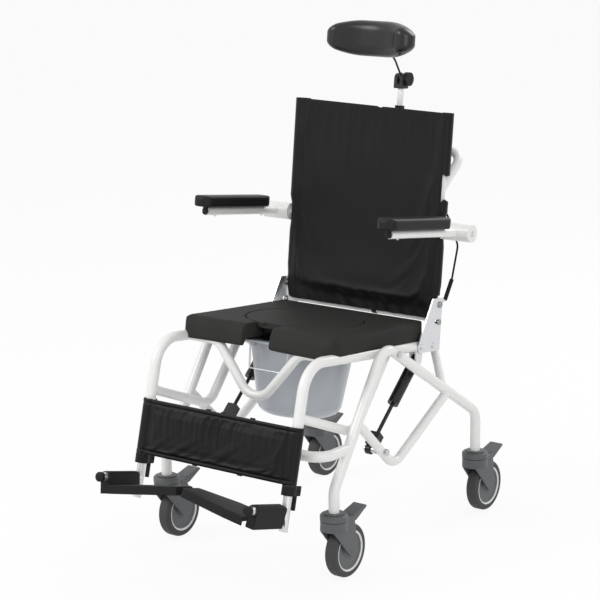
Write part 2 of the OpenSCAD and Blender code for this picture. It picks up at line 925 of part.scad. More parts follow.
// Rod with its eye and release head
module spring_rod(side) {
    color(silver) at_spring(side) difference() {
        union() {
            pin_x(0, eye_d, eye_t);
            rotate([-90, 0, 0])
                cylinder(h = spring_len() - eye_d - cyl_neck - spring_stroke + rod_in, d = rod_d);
            translate([-head_block.x / 2, eye_d / 2 - eye_t / 4, -head_block.z / 2])
                cube(head_block);
        }
        pin_x(0, stud_d + 2 * fit, eye_t + 2 * overrun);
    }
}

// Cylinder with its upper eye, which has play about the lug's pin
module spring_body(side) {
    l = spring_len();
    low = l - spring_stroke - cyl_neck - eye_d;
    color(black) at_spring(side) difference() {
        union() {
            translate([0, low, 0])
                rotate([-90, 0, 0])
                    cylinder(h = l - eye_d - low, d = spring_d);
            translate([0, l - eye_d - cyl_neck / 4, 0])
                rotate([-90, 0, 0])
                    cylinder(h = cyl_neck, d = eye_t - 2 * touch);
            translate([0, l, 0])
                pin_x(0, eye_d, eye_t);
        }
        translate([0, low - overrun, 0])
            rotate([-90, 0, 0])
                cylinder(h = spring_stroke + cyl_neck / 4 + overrun, d = rod_d + 2 * fit);
        translate([0, l, 0])
            pin_x(0, stud_d + 2 * eye_play, eye_t + 2 * overrun);
    }
}

// Back

module back_frame() {
    color(white) at_seat() difference() {
        union() {
            for (side = [-1, 1]) {
                rod([side * upright_x, back_y, upright_low_z], [side * upright_x, back_y, upright_top_z], tube_d);
            }
            rod([-upright_x, back_y, bar_z], [upright_x, back_y, bar_z], bar_d);
        }
        for (side = [-1, 1]) {
            translate([0, back_y, recline_z])
                pin_x(side * upright_x, pivot_bolt_d, tube_d + 2 * overrun);
            translate([0, back_y, recline_z - slot_r])
                pin_x(side * upright_x, slot_pin_d, tube_d + 2 * overrun);
            translate([0, back_y, arm_z])
                pin_x(side * upright_x, arm_pin_d + 2 * fit, tube_d + 2 * overrun);
        }
    }
}

// Recline bolts with spacers and heads outside the plates, and the slot pins
module back_bolts() {
    inner = upright_x - tube_r;
    face = rail_x + tube_r + plate_gap + plate_t + plate_gap;
    outer = face + plate_head_t;
    spacer = rail_x + tube_r - upright_x - tube_r;
    color(silver) at_seat() for (side = [-1, 1], bolt = [[recline_z, pivot_bolt_d], [recline_z - slot_r, slot_pin_d]])
        translate([0, back_y, bolt[0]]) {
            pin_x(side * (inner + outer) / 2, bolt[1], outer - inner);
            pin_x(side * (outer - plate_head_t / 2), bolt[1] + slot_pin_d * 3 / 4, plate_head_t);
            difference() {
                pin_x(side * (upright_x + tube_r + spacer / 2), bolt_head_d, spacer);
                rod([side * upright_x, back_y, upright_low_z], [side * upright_x, back_y, upright_top_z], tube_d);
            }
        }
}

module push_bar() {
    top = [0, back_y + push_reach, push_z + push_rise];
    color(white) at_seat() difference() {
        bent_tube([
            [upright_x, back_y, push_z], [upright_x, top.y, top.z],
            [-upright_x, top.y, top.z], [-upright_x, back_y, push_z]
        ], push_d, push_bend_r);
        for (side = [-1, 1])
            rod([side * upright_x, back_y, upright_low_z], [side * upright_x, back_y, upright_top_z], tube_d);
    }
}

// Padded sling: a crowned panel with a fold near its foot, and sleeves round the uprights
module back_sling() {
    cols = 20;
    rows = 28;
    w = 2 * (upright_x + tube_r);
    h = back_top_z - sling_low_z;
    front = back_y - tube_r - touch;
    wrinkle_share = 0.35;
    function crown(u, z) = sling_crown * sin(180 * u) * (1 - pow(2 * z / h - 1, 4))
        - sling_fold * exp(-pow((z - (sling_fold_z - sling_low_z)) / (sling_fold_z - sling_low_z) * 5, 2))
        * sin(180 * u)
        + sling_fold * wrinkle_share * sin(180 * u) * sin(900 * u) * max(0, 1 - z / (sling_fold_z - sling_low_z) * 2 / 3);
    color(black) at_seat() {
        translate([0, front, sling_low_z])
            padded_panel(w, h, sling_t, cols, rows,
                [for (j = [0:rows]) [for (i = [0:cols]) crown(i / cols, h * j / rows)]]);
        for (side = [-1, 1], band = [
            [sleeve_low_z, arm_gap_low_z], [arm_gap_top_z, push_gap_low_z], [push_gap_top_z, back_top_z]
        ])
            translate([side * upright_x, back_y, band[0]])
                difference() {
                    cylinder(h = min(band[1], back_top_z - overrun) - band[0], d = tube_d + 2 * touch + 2 * sling_wall);
                    translate([0, 0, -overrun])
                        cylinder(h = min(band[1], upright_top_z + touch) - band[0] + overrun,
                            d = tube_d + 2 * touch + 8 * fit);
                    translate([-tube_d, -tube_d * 2 - tube_r - touch - sling_wall / 2, -overrun])
                        cube([2 * tube_d, 2 * tube_d, band[1] - band[0] + 2 * overrun]);
                }
    }
}

// Release cables, from the push bar to the foot of the back
module cables() {
    rear = back_y + push_reach;
    color(black) at_seat() for (side = [-1, 1]) difference() {
        union() {
            bent_tube([
                [side * (lever_x + grip_w / 2), rear, push_z + push_rise],
                [side * (lever_x + grip_w / 2), rear - push_d * 2, push_z],
                [side * upright_x, back_y + push_d * 2, arm_gap_top_z],
                [side * upright_x, back_y + push_d * 3, arm_gap_low_z],
                [side * upright_x, back_y + push_d * 3 / 2, recline_z + push_d * 2]
            ], wire_d, wire_d * 6);
            rod([side * upright_x, back_y + push_d * 3 / 2, recline_z + push_d * 2],
                [side * upright_x, back_y, bar_z], wire_d * 2);
        }
        rod([side * upright_x, back_y, upright_low_z], [side * upright_x, back_y, upright_top_z], tube_d);
        rod([-upright_x, back_y, bar_z], [upright_x, back_y, bar_z], bar_d);
        translate([0, rear, push_z + push_rise])
            pin_x(0, push_d, 2 * upright_x);
    }
}

// Lever under the push bar
module release_lever(side) {
    y = back_y + push_reach;
    z = push_z + push_rise;
    color(black) at_seat() translate([side * lever_x, 0, 0]) difference() {
        union() {
            translate([0, y, z])
                pin_x(0, push_d + 2 * grip_t, grip_w / 2);
            translate([-grip_w / 4, y, z - push_d / 2 - grip_t])
                cube([grip_w / 2, grip_reach, grip_t]);
        }
        translate([0, y, z])
            pin_x(0, push_d + 2 * fit, grip_w);
    }
}

// Armrests

// Frame of an armrest at its pivot, with the front end a little raised
module at_arm() {
    at_seat()
        translate([0, back_y, arm_z])
            rotate([-arm_rise, 0, 0])
                children();
}

module arm(side) {
    x = side * arm_x;
    color(white) at_arm() difference() {
        union() {
            pin_x(side * (sleeve_in_x + sleeve_out_x) / 2, sleeve_d, sleeve_out_x - sleeve_in_x);
            pin_x(side * (upright_x + sleeve_in_x) / 2 - side * tube_r / 2, arm_pin_d, sleeve_in_x - upright_x + tube_r);
            rod([x, 0, 0], [x, -arm_reach, 0], arm_d);
        }
        pin_x(side * sleeve_out_x, bolt_head_d, 2 * bolt_head_t);
    }
}

// Pad with round ends and edges, with the tube's end cap and two screws
module arm_pad(side) {
    low = arm_d / 2 + pad_gap;
    y0 = -arm_reach - pad_front;
    color(black) at_arm() translate([side * arm_x, 0, 0]) {
        intersection() {
            plate_x(-pad_w / 2, pad_w) {
                translate([y0 + pad_round, low])
                    square([pad_l - 2 * pad_round, pad_t]);
                translate([y0, low])
                    square([pad_l, pad_t - pad_round]);
                for (y = [y0 + pad_round, y0 + pad_l - pad_round])
                    translate([y, low + pad_t - pad_round])
                        circle(pad_round);
            }
            prism_y(y0 - overrun, pad_l + 2 * overrun) {
                translate([-pad_w / 2 + pad_round, low])
                    square([pad_w - 2 * pad_round, pad_t]);
                translate([-pad_w / 2, low])
                    square([pad_w, pad_t - pad_round]);
                for (s = [-1, 1])
                    translate([s * (pad_w / 2 - pad_round), low + pad_t - pad_round])
                        circle(pad_round);
            }
            translate([0, y0 + pad_l / 2, low - overrun])
                linear_extrude(pad_t + 2 * overrun)
                    round_rect(pad_w + overrun, pad_l + overrun, pad_nose);
        }
        translate([0, -arm_reach, 0])
            rod([0, 0, 0], [0, -arm_cap_l, 0], arm_d);
        for (share = screw_shares)
            translate([0, -arm_reach * (1 - share), 0])
                difference() {
                    translate([0, 0, -arm_d / 2 - screw_h])
                        cylinder(h = arm_d + screw_h + pad_gap, d = screw_d);
                    rod([0, -screw_d, 0], [0, screw_d, 0], arm_d);
                }
    }
}

// Headrest

module head_holder() {
    color(black) at_seat() difference() {
        union() {
            translate([-holder_w / 2, back_y + push_reach - holder_d / 2, holder_low])
                cube([holder_w, head_bar_y - back_y - push_reach + holder_d, holder_top - holder_low]);
            translate([-head_bar_w / 2 - holder_neck, head_bar_y - head_bar_t / 2 - holder_neck, holder_low])
                cube([head_bar_w + 2 * holder_neck, head_bar_t + 2 * holder_neck,
                    holder_top + holder_neck_h - holder_low]);
        }
        translate([0, back_y + push_reach, push_z + push_rise])
            pin_x(0, push_d + 2 * fit, holder_w + 2 * overrun);
        translate([-head_bar_w / 2 - fit, head_bar_y - head_bar_t / 2 - fit, holder_low - overrun])
            cube([head_bar_w + 2 * fit, head_bar_t + 2 * fit,
                holder_top + holder_neck_h - holder_low + 2 * overrun]);
    }
}

// Flat bar with the forked joint at its top
module head_bar() {
    color(silver) at_seat() {
        translate([-head_bar_w / 2, head_bar_y - head_bar_t / 2, head_bar_low])
            cube([head_bar_w, head_bar_t, head_bar_top - head_bar_low]);
        difference() {
            union() {
                translate([-joint_w / 2, head_bar_y - joint_d / 2, head_bar_top])
                    cube([joint_w, joint_d, joint_z - head_bar_top]);
                translate([0, head_bar_y, joint_z])
                    pin_x(0, joint_d, joint_w);
            }
            translate([-head_stem_d / 2 - touch, head_bar_y - joint_d, joint_z - joint_d / 2 - touch])
                cube([head_stem_d + 2 * touch, 2 * joint_d, joint_d * 2]);
            translate([0, head_bar_y, joint_z])
                pin_x(0, head_shaft_d + 2 * fit, joint_w + 2 * overrun);
        }
    }
}

// Curved pad on its stem
module head_pad() {
    half = head_w / head_curve_r * 90 / PI;
    mid_r = head_curve_r;
    color(black) at_seat() {
        difference() {
            union() {
                translate([0, head_bar_y, joint_z])
                    pin_x(0, joint_d - 2 * touch, head_stem_d);
                bent_tube([
                    [0, head_bar_y, joint_z],
                    [0, head_bar_y + head_stem_mid[0], joint_z + head_stem_mid[1]],
                    [0, head_y + head_t / 2, head_z]
                ], head_stem_d - touch, head_stem_d * 2);
            }
            translate([0, head_bar_y, joint_z])
                pin_x(0, head_shaft_d + 2 * fit, joint_w);
            head_cushion(half, mid_r);
        }
        head_cushion(half, mid_r);
    }
}

module head_cushion(half, mid_r) {
    translate([0, head_y - mid_r, head_z])
        head_curve(half, mid_r);
}

module head_profile() {
    round_rect(head_t, head_h, head_t / 2 - head_t / 16);
}

module head_curve(half, mid_r) {
    rotate([0, 0, 90 - half])
        rotate_extrude(angle = 2 * half)
            translate([mid_r, 0])
                head_profile();
    for (s = [-1, 1])
        rotate([0, 0, 90 + s * half])
            translate([mid_r, 0, 0])
                rotate_extrude()
                    intersection() {
                        head_profile();
                        translate([0, -head_h])
                            square([head_t, 2 * head_h]);
                    }
}

// Lobed hand knob with its clamping shaft
module head_knob() {
    color(grey) at_seat() translate([0, head_bar_y, joint_z]) {
        pin_x(joint_w / 2 + touch - head_shaft_l / 2, head_shaft_d, head_shaft_l + 2 * touch);
        translate([joint_w / 2 + touch, 0, 0])
            rotate([0, 90, 0])
                linear_extrude(head_knob_w)
                    difference() {
                        circle(d = head_knob_d);
                        for (k = [1:head_knob_lobes])
                            rotate(360 * k / head_knob_lobes)
                                translate([head_knob_d / 2 + head_knob_d / 10, 0])
                                    circle(d = head_knob_d / 4);
                    }
    }
}

// Leg rest

// Padded calf panel wrapped round both hangers
module calf_pad() {
    cols = 24;
    rows = 8;
    w = 2 * rail_x;
    h = calf_low - calf_top;
    ripple_share = 0.3;
    function crown(u, v) = calf_crown * sin(180 * v) * (1 + ripple_share * sin(180 * u) * cos(2520 * u));
    color(black) at_seat() translate([0, -hanger_y, 0]) rotate([-hanger_lean, 0, 0]) {
        translate([0, -tube_r - touch, -calf_low])
            padded_panel(w + tube_d, h, calf_wall, cols, rows,
                [for (j = [0:rows]) [for (i = [0:cols]) crown(i / cols, j / rows)]]);
        for (side = [-1, 1])
            translate([side * rail_x, 0, -calf_low])
                difference() {
                    cylinder(h = h, d = tube_d + 2 * touch + 2 * calf_wall);
                    translate([0, 0, -overrun])
                        cylinder(h = h + 2 * overrun, d = tube_d + 2 * touch);
                    translate([-tube_d, -tube_d * 2 - tube_r - touch, -overrun])
                        cube([2 * tube_d, 2 * tube_d, h + 2 * overrun]);
                }
    }
}

// Clamp collars at the feet of the hangers
module foot_clamps() {
    color(black) for (side = [-1, 1]) at_hanger(side) difference() {
        union() {
            translate([0, 0, -hanger_l - clamp_h / 2])
                cylinder(h = clamp_h, d = clamp_d);
            translate([-lever_w, 0, -hanger_l - clamp_h / 2])
                cube([2 * lever_w, clamp_d / 2 + clamp_lug, clamp_h]);
        }
        translate([0, 0, -hanger_l])
            cylinder(h = clamp_h, d = tube_d + 2 * fit);
        translate([0, 0, -hanger_l - clamp_h])
            cylinder(h = 2 * clamp_h, d = leg_d + 3 * fit);
        translate([-lever_t / 2 - touch, clamp_d / 2, -hanger_l - clamp_h])
            cube([lever_t + 2 * touch, 2 * clamp_lug, 2 * clamp_h]);
        translate([0, clamp_d / 2 + clamp_lug / 2, -hanger_l])
            pin_x(0, pedal_pin_d, 2 * lever_w + 2 * overrun);
    }
}

// Clamping lever that hangs behind the collar
module clamp_lever(side) {
    color(black) at_hanger(side) translate([0, clamp_d / 2 + clamp_lug / 2, -hanger_l]) {
        pin_x(0, pedal_pin_d - 2 * fit, 2 * lever_w);
        pin_x(0, clamp_lug - 2 * touch, lever_t);
        translate([-lever_t / 2, -lever_w / 4, -lever_l])
            cube([lever_t, lever_w * 3 / 4, lever_l]);
    }
}

// Telescopic leg with a flattened foot and the footplate's axle
module leg(side) {
    out = axle_drop + leg_out;
    color(silver) at_hanger(side) {
        translate([0, 0, -axle_drop])
            cylinder(h = axle_drop - hanger_l + leg_in, d = leg_d);
        intersection() {
            translate([0, 0, -out])
                cylinder(h = out - axle_drop, d = leg_d);
            plate_x(-leg_d / 2, leg_d)
                polygon([
                    [-leg_d / 2, -axle_drop], [leg_d / 2, -axle_drop],
                    [leg_foot_w / 2, -out], [-leg_foot_w / 2, -out]
                ]);
        }
        difference() {
            rod([0, 0, -axle_drop], [0, -axle_reach, -axle_drop], axle_tube_d);
            translate([0, 0, -axle_drop - leg_d])
                cylinder(h = 2 * leg_d, d = leg_d);
        }
        rod([0, -axle_reach, -axle_drop], [0, -axle_reach - axle_cap_l, -axle_drop], axle_tube_d + 2 * touch);
    }
}

// Frame of a footplate, turned about its axle so that its inner end is raised
module at_axle() {
    translate([0, 0, -axle_drop])
        rotate([0, -plate_rise, 0])
            translate([0, 0, axle_drop])
                children();
}

// Ribbed footplate with its raised sleeve on the axle
module footplate(side) {
    top = -axle_drop - plate_drop;
    low = top - plate_skirt;
    r = axle_tube_d / 2 + sleeve_wall;
    inner = rail_x - plate_mid_gap;
    color(black) at_hanger(side) mirror([side > 0 ? 1 : 0, 0, 0]) at_axle() difference() {
        union() {
            intersection() {
                prism_y(-sleeve_front, sleeve_front - sleeve_rear)
                    translate([0, (low + r - axle_drop) / 2])
                        round_rect(2 * r, r - axle_drop - low, sleeve_corner);
                plate_x(-r, 2 * r)
                    translate([-(sleeve_front + sleeve_rear) / 2, (low + r - axle_drop) / 2])
                        round_rect(sleeve_front - sleeve_rear, r - axle_drop - low, sleeve_corner);
            }
            translate([0, 0, low])
                linear_extrude(plate_skirt)
                    plate_outline(inner, r);
        }
        rod([0, 0, -axle_drop], [0, -axle_reach, -axle_drop], axle_tube_d + 2 * fit);
        difference() {
            translate([0, 0, low - overrun])
                linear_extrude(plate_skirt - plate_skin + overrun)
                    offset_outline(inner, r);
            for (k = [1:rib_count])
                translate([inner * k / (rib_count + 1) - rib_t / 2, -plate_front, low])
                    cube([rib_t, plate_front, plate_skirt]);
        }
    }
}

module plate_outline(inner, r) {
    polygon([
        [-r, -sleeve_rear], [r, -sleeve_rear], [r, -plate_rear], [inner / 2, -plate_rear],
        [inner, -plate_inner_rear], [inner, -plate_inner_front], [inner / 3, -plate_front],
        [r, -plate_front], [r, -sleeve_front], [-r, -sleeve_front]
    ]);
}

module offset_outline(inner, r) {
    s = plate_skin;
    polygon([
        [r - s, -plate_rear - s], [inner / 2 - s / 2, -plate_rear - s],
        [inner - s, -plate_inner_rear - s / 2], [inner - s, -plate_inner_front + s / 2],
        [inner / 3, -plate_front + s], [r - s, -plate_front + s]
    ]);
}

base_side(1);  // base_side_l
base_side(-1);  // base_side_r
base_bow();
pivot_bolts();
spring_studs();
castor_tops();
fork(1, -front_leg_y);  // fork_fl
fork(-1, -front_leg_y);  // fork_fr
fork(1, rear_leg_y);  // fork_rl
fork(-1, rear_leg_y);  // fork_rr
hub(1, -front_leg_y);  // hub_fl
hub(-1, -front_leg_y);  // hub_fr
hub(1, rear_leg_y);  // hub_rl
hub(-1, rear_leg_y);  // hub_rr
tyre(1, -front_leg_y);  // tyre_fl
tyre(-1, -front_leg_y);  // tyre_fr
tyre(1, rear_leg_y);  // tyre_rl
tyre(-1, rear_leg_y);  // tyre_rr
pedal(1, -front_leg_y);  // pedal_fl
pedal(-1, -front_leg_y);  // pedal_fr
pedal(1, rear_leg_y);  // pedal_rl
pedal(-1, rear_leg_y);  // pedal_rr
seat_frame(1);  // seat_frame_l
seat_frame(-1);  // seat_frame_r
front_dip();
hinge_plate(1);  // hinge_plate_l
hinge_plate(-1);  // hinge_plate_r
seat_pad();
pan_rails();
calf_pad();
foot_clamps();
seat_lid();
pan();
pan_bail();
spring_rod(1);  // spring_rod_l
spring_rod(-1);  // spring_rod_r
spring_body(1);  // spring_body_l
spring_body(-1);  // spring_body_r
back_frame();
push_bar();
back_sling();
back_bolts();
cables();
release_lever(1);  // release_lever_l
release_lever(-1);  // release_lever_r
arm(1);  // arm_l
arm(-1);  // arm_r
arm_pad(1);  // arm_pad_l
arm_pad(-1);  // arm_pad_r
head_holder();
head_bar();
head_pad();
head_knob();
leg(1);  // leg_l
leg(-1);  // leg_r
footplate(1);  // footplate_l
footplate(-1);  // footplate_r
clamp_lever(1);  // clamp_lever_l
clamp_lever(-1);  // clamp_lever_r
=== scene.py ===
"""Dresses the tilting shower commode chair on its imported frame.

Lengths are metres in the frame of the solids: the front faces -Y, +X is the sitter's left, +Z is up.
"""
from __future__ import annotations

import logging
import math
from dataclasses import dataclass, field
from enum import Enum
from typing import Callable, Sequence

import bmesh
import bpy
from mathutils import Matrix, Vector, noise


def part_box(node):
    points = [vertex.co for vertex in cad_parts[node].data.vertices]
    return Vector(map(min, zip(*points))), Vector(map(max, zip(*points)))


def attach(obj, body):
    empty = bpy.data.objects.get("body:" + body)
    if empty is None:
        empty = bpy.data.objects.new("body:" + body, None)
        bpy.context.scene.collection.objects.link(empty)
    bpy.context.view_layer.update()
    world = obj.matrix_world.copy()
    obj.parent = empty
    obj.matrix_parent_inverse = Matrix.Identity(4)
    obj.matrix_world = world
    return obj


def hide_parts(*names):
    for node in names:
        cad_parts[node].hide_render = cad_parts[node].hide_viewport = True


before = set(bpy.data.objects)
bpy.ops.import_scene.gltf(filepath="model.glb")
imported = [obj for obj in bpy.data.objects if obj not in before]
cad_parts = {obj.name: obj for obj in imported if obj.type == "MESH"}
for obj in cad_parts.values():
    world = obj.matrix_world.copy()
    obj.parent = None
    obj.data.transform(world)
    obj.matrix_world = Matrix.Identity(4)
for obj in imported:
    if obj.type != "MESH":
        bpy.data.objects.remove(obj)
LOG = logging.getLogger("commode_chair")
Piece = bpy.types.Object
Rgb = tuple[float, float, float]
Pair = tuple[float, float]
MERGE = 0.00002
SMOOTH_ANGLE = math.radians(40)


def unit(value: float) -> float:
    """The value, held between 0 and 1."""
    return min(1.0, max(0.0, value))


def fade(offset: float, zone: Pair) -> float:
    """Share from 0 to 1 of an offset, by the shift and width of a zone."""
    return unit((offset + zone[0]) / zone[1])


def hump(offset: float, width: float) -> float:
    """Smooth hump of height 1 about 0."""
    return math.exp(-(offset / width) ** 2)


def pose(spot: Sequence[float], turn: float, axis: str = "X") -> Matrix:
    """Matrix that turns about an axis and then moves to a spot."""
    return Matrix.Translation(spot) @ Matrix.Rotation(turn, 4, axis)


class Side(Enum):
    """The two sides of the chair, by the sign of X."""

    LEFT = 1
    RIGHT = -1


@dataclass(frozen=True)
class Stance:
    """Where the seat frame hangs on the base."""

    pivot_y: float = 0.0225
    pivot_z: float = 0.481
    rake: float = math.radians(6.0)
    hanger_y: float = 0.299
    hanger_lean: float = math.radians(8.0)
    rail_x: float = 0.212

    def seat(self) -> Matrix:
        """Matrix from the seat frame, level about the pivot, to the frame of the solids."""
        return pose((0, self.pivot_y, self.pivot_z), -self.rake)

    def hangers(self) -> Matrix:
        """Matrix from the plane of the hangers, with -Z down along them, to the frame of the solids."""
        lean = Matrix.Rotation(-self.hanger_lean, 4, "X")
        return self.seat() @ Matrix.Translation((0, -self.hanger_y, 0)) @ lean


STANCE = Stance()


class Wire:
    """A node socket that takes part in Python sums."""

    def __init__(self, shader: NodeKit, socket: bpy.types.NodeSocket) -> None:
        """Keeps the socket and the material it belongs to."""
        self.shader, self.socket = shader, socket

    def _math(self, operation: str, a: object, b: object) -> Wire:
        """Adds a Math node of two values."""
        return self.shader.node("ShaderNodeMath", {"operation": operation}, {0: a, 1: b})

    def __add__(self, other: object) -> Wire:
        """Sum."""
        return self._math("ADD", self, other)

    __radd__ = __add__

    def __mul__(self, other: object) -> Wire:
        """Product."""
        return self._math("MULTIPLY", self, other)

    __rmul__ = __mul__

    def __sub__(self, other: object) -> Wire:
        """Difference."""
        return self._math("SUBTRACT", self, other)

    def __rsub__(self, other: object) -> Wire:
        """Difference from a number."""
        return self._math("SUBTRACT", other, self)

    def __pow__(self, other: object) -> Wire:
        """Power."""
        return self._math("POWER", self, other)

    def ramp(self, low: float, high: float) -> Wire:
        """Value from 0 at low to 1 at high, smoothly."""
        return self.shader.node("ShaderNodeMapRange", {"interpolation_type": "SMOOTHSTEP"},
                                {"Value": self, "From Min": low, "From Max": high})


class NodeKit:
    """A node tree that nodes are added to."""

    def __init__(self, tree: bpy.types.NodeTree) -> None:
        """Starts from an empty tree."""
        self.tree = tree
        tree.nodes.clear()

    def node(self, kind: str, settings: dict[str, object], inputs: dict[object, object],
             output: object = 0) -> Wire:
        """Adds any node.

        Args:
            kind: Type of the node.
            settings: Its own settings, set first.
            inputs: Values or wires by socket.
            output: Socket that is returned.

        Returns:
            The chosen output.
        """
        made = self.tree.nodes.new(kind)
        for key, value in settings.items():
            setattr(made, key, value)
        for key, value in inputs.items():
            self._feed(made.inputs[key], value)
        return Wire(self, made.outputs[output]) if output is not None else Wire(self, made.inputs[0])

    def _feed(self, socket: bpy.types.NodeSocket, value: object) -> None:
        """Links a wire to a socket, or sets its value."""
        if isinstance(value, Wire):
            self.tree.links.new(value.socket, socket)
        else:
            socket.default_value = value

    def shown(self) -> Wire:
        """1 or more for rays from the camera, a mirror or glass, and 0 for others."""
        return sum((self.node("ShaderNodeLightPath", {}, {}, f"Is {kind} Ray")
                    for kind in ("Camera", "Glossy", "Transmission")), 0.0)


class Shader(NodeKit):
    """One procedural material on the Principled shader."""

    def __init__(self, name: str) -> None:
        """Starts a material with its shader and output."""
        self.material = bpy.data.materials.new(name)
        self.material.use_nodes = True
        super().__init__(self.material.node_tree)
        self.surface = self.node("ShaderNodeBsdfPrincipled", {}, {})
        self.bsdf = self.surface.socket.node
        self.show(self.surface)
        self.place = self.node("ShaderNodeTexCoord", {}, {}, "Object")

    def show(self, surface: Wire) -> None:
        """Makes a shader the surface of the material."""
        outs = [n for n in self.tree.nodes if n.type == "OUTPUT_MATERIAL"] or [
            self.tree.nodes.new("ShaderNodeOutputMaterial")]
        self._feed(outs[0].inputs["Surface"], surface)

    def set(self, **inputs: object) -> None:
        """Feeds the shader's sockets, named with underscores for spaces."""
        for key, value in inputs.items():
            self._feed(self.bsdf.inputs[key.replace("_", " ")], value)

    def blotch(self, scale: float, detail: float = 3.0, stretch: Sequence[float] = (1, 1, 1)) -> Wire:
        """Noise from 0 to 1, by blotches per metre, octaves and the scale of each axis."""
        where = self.node("ShaderNodeMapping", {}, {"Vector": self.place, "Scale": stretch})
        return self.node("ShaderNodeTexNoise", {}, {"Vector": where, "Scale": scale, "Detail": detail})

    def pebble(self, scale: float) -> Wire:
        """Distance inside cells, so many per metre, as in a leather grain."""
        return self.node("ShaderNodeTexVoronoi", {}, {"Vector": self.place, "Scale": scale}, "Distance")

    def mix(self, amount: object, low: Rgb | Wire, high: Rgb) -> Wire:
        """Colour between two colours, by the share of the second."""
        low, high = (c if isinstance(c, Wire) else (*c, 1.0) for c in (low, high))
        return self.node("ShaderNodeMix", {"data_type": "RGBA"}, {0: amount, 6: low, 7: high}, 2)

    def relief(self, height: Wire, depth: float, strength: float = 0.6) -> None:
        """Bumps the surface by a height from 0 to 1, its depth in metres and the share that shows."""
        bump = {"Height": height, "Distance": depth, "Strength": strength}
        self.set(Normal=self.node("ShaderNodeBump", {}, bump))


@dataclass(frozen=True)
class Finish:
    """Base of a finish: its name and what it is made of.

    It varies in patches per metre, from a dark share of its colour, and by vary in roughness.
    """

    name: str
    color: Rgb
    rough: float
    grain: float = 900.0
    depth: float = 0.00015
    metal: float = 0.0
    coat: float = 0.0
    gloss: float = 0.5
    patches: float = 14.0
    dark: float = 0.9
    vary: float = 0.12
    coat_rough: float = 0.15

    def shade(self, shader: Shader, tone: Wire) -> Wire:
        """Colour between the darker shade and the full one."""
        return shader.mix(tone, tuple(self.dark * c for c in self.color), self.color)

    def uneven(self, tone: Wire) -> Wire:
        """Roughness that changes with the tone."""
        return self.rough + self.vary * (tone - 0.5)

    def make(self) -> bpy.types.Material:
        """Builds the material."""
        shader = Shader(self.name)
        self.dress(shader)
        shader.set(Specular_IOR_Level=self.gloss)
        return shader.material

    def dress(self, shader: Shader) -> None:
        """Fine grain with slight changes of tone and gloss."""
        tone = shader.blotch(self.patches)
        fine = shader.blotch(self.grain, detail=2.0)
        shader.set(Base_Color=self.shade(shader, tone), Roughness=self.uneven(tone),
                   Metallic=self.metal, Coat_Weight=self.coat, Coat_Roughness=self.coat_rough)
        shader.relief(fine, self.depth)


@dataclass(frozen=True)
class PowderCoat(Finish):
    """White powder coat with a faint orange peel."""

    patches: float = 9.0
    dark: float = 0.95
    vary: float = 0.1
    coat_rough: float = 0.12

    def dress(self, shader: Shader) -> None:
        """Orange peel, with slight changes of tone and gloss."""
        peel = shader.blotch(self.grain, detail=1.0)
        tone = shader.blotch(self.patches)
        shader.set(Base_Color=self.shade(shader, tone), Roughness=self.uneven(tone),
                   Coat_Weight=self.coat, Coat_Roughness=self.coat_rough)
        shader.relief(peel, self.depth)


@dataclass(frozen=True)
class Brushed(Finish):
    """Metal with fine brushing along X."""

    dark: float = 0.86
    vary: float = 0.16
    streaks: Sequence[float] = (0.06, 1, 1)

    def dress(self, shader: Shader) -> None:
        """Streaks in tone, gloss and relief."""
        streak = shader.blotch(self.grain, stretch=self.streaks)
        shader.set(Base_Color=self.shade(shader, streak), Roughness=self.uneven(streak), Metallic=self.metal)
        shader.relief(streak, self.depth)


@dataclass(frozen=True)
class FoamSkin(Finish):
    """Moulded foam with a pebbled skin."""

    patches: float = 11.0
    dark: float = 0.7
    vary: float = 0.14
    cell_gloss: float = 0.05

    def dress(self, shader: Shader) -> None:
        """Pebbles, with faint wear in gloss and tone."""
        cells = shader.pebble(self.grain)
        tone = shader.blotch(self.patches, detail=4.0)
        shader.set(Base_Color=self.shade(shader, tone), Roughness=self.uneven(tone) - self.cell_gloss * cells)
        shader.relief(cells, self.depth)


@dataclass(frozen=True)
class CoatedCloth(Finish):
    """Coated cloth: a fine weave under a soft film, with small creases."""

    patches: float = 7.0
    dark: float = 0.72
    vary: float = 0.16
    creases: float = 26.0
    crease_stretch: Sequence[float] = (1, 1, 0.5)
    thread: float = 0.12

    def dress(self, shader: Shader) -> None:
        """Two crossed threads, creases and uneven gloss."""
        threads = {"Vector": shader.place, "Scale": self.grain}
        warp, weft = (shader.node("ShaderNodeTexWave", {"bands_direction": way}, threads) for way in "XZ")
        crease = shader.blotch(self.creases, detail=5.0, stretch=self.crease_stretch)
        tone = shader.blotch(self.patches, detail=2.0)
        shader.set(Base_Color=self.shade(shader, tone), Roughness=self.uneven(crease))
        shader.relief(self.thread * warp + self.thread * weft + crease, self.depth)


@dataclass(frozen=True)
class WheelFace(Finish):
    """Castor hub with a pale ring at its rim, about its own axle."""

    patches: float = 30.0
    dark: float = 0.88
    axle: Pair = (0.0, 0.0625)
    ring: float = 0.0438
    blend: float = 0.0006
    pale: Rgb = (0.72, 0.73, 0.74)
    ring_gloss: float = 0.1

    def dress(self, shader: Shader) -> None:
        """Grey grain inside, pale ring by distance from the axle."""
        y, z = (shader.node("ShaderNodeSeparateXYZ", {}, {0: shader.place}, axis) - middle
                for axis, middle in zip("YZ", self.axle))
        radius = (y * y + z * z) ** 0.5
        mask = radius.ramp(self.ring - self.blend, self.ring + self.blend)
        plain = self.shade(shader, shader.blotch(self.patches))
        shader.set(Base_Color=shader.mix(mask, plain, self.pale), Roughness=self.rough - self.ring_gloss * mask)
        shader.relief(shader.blotch(self.grain), self.depth)


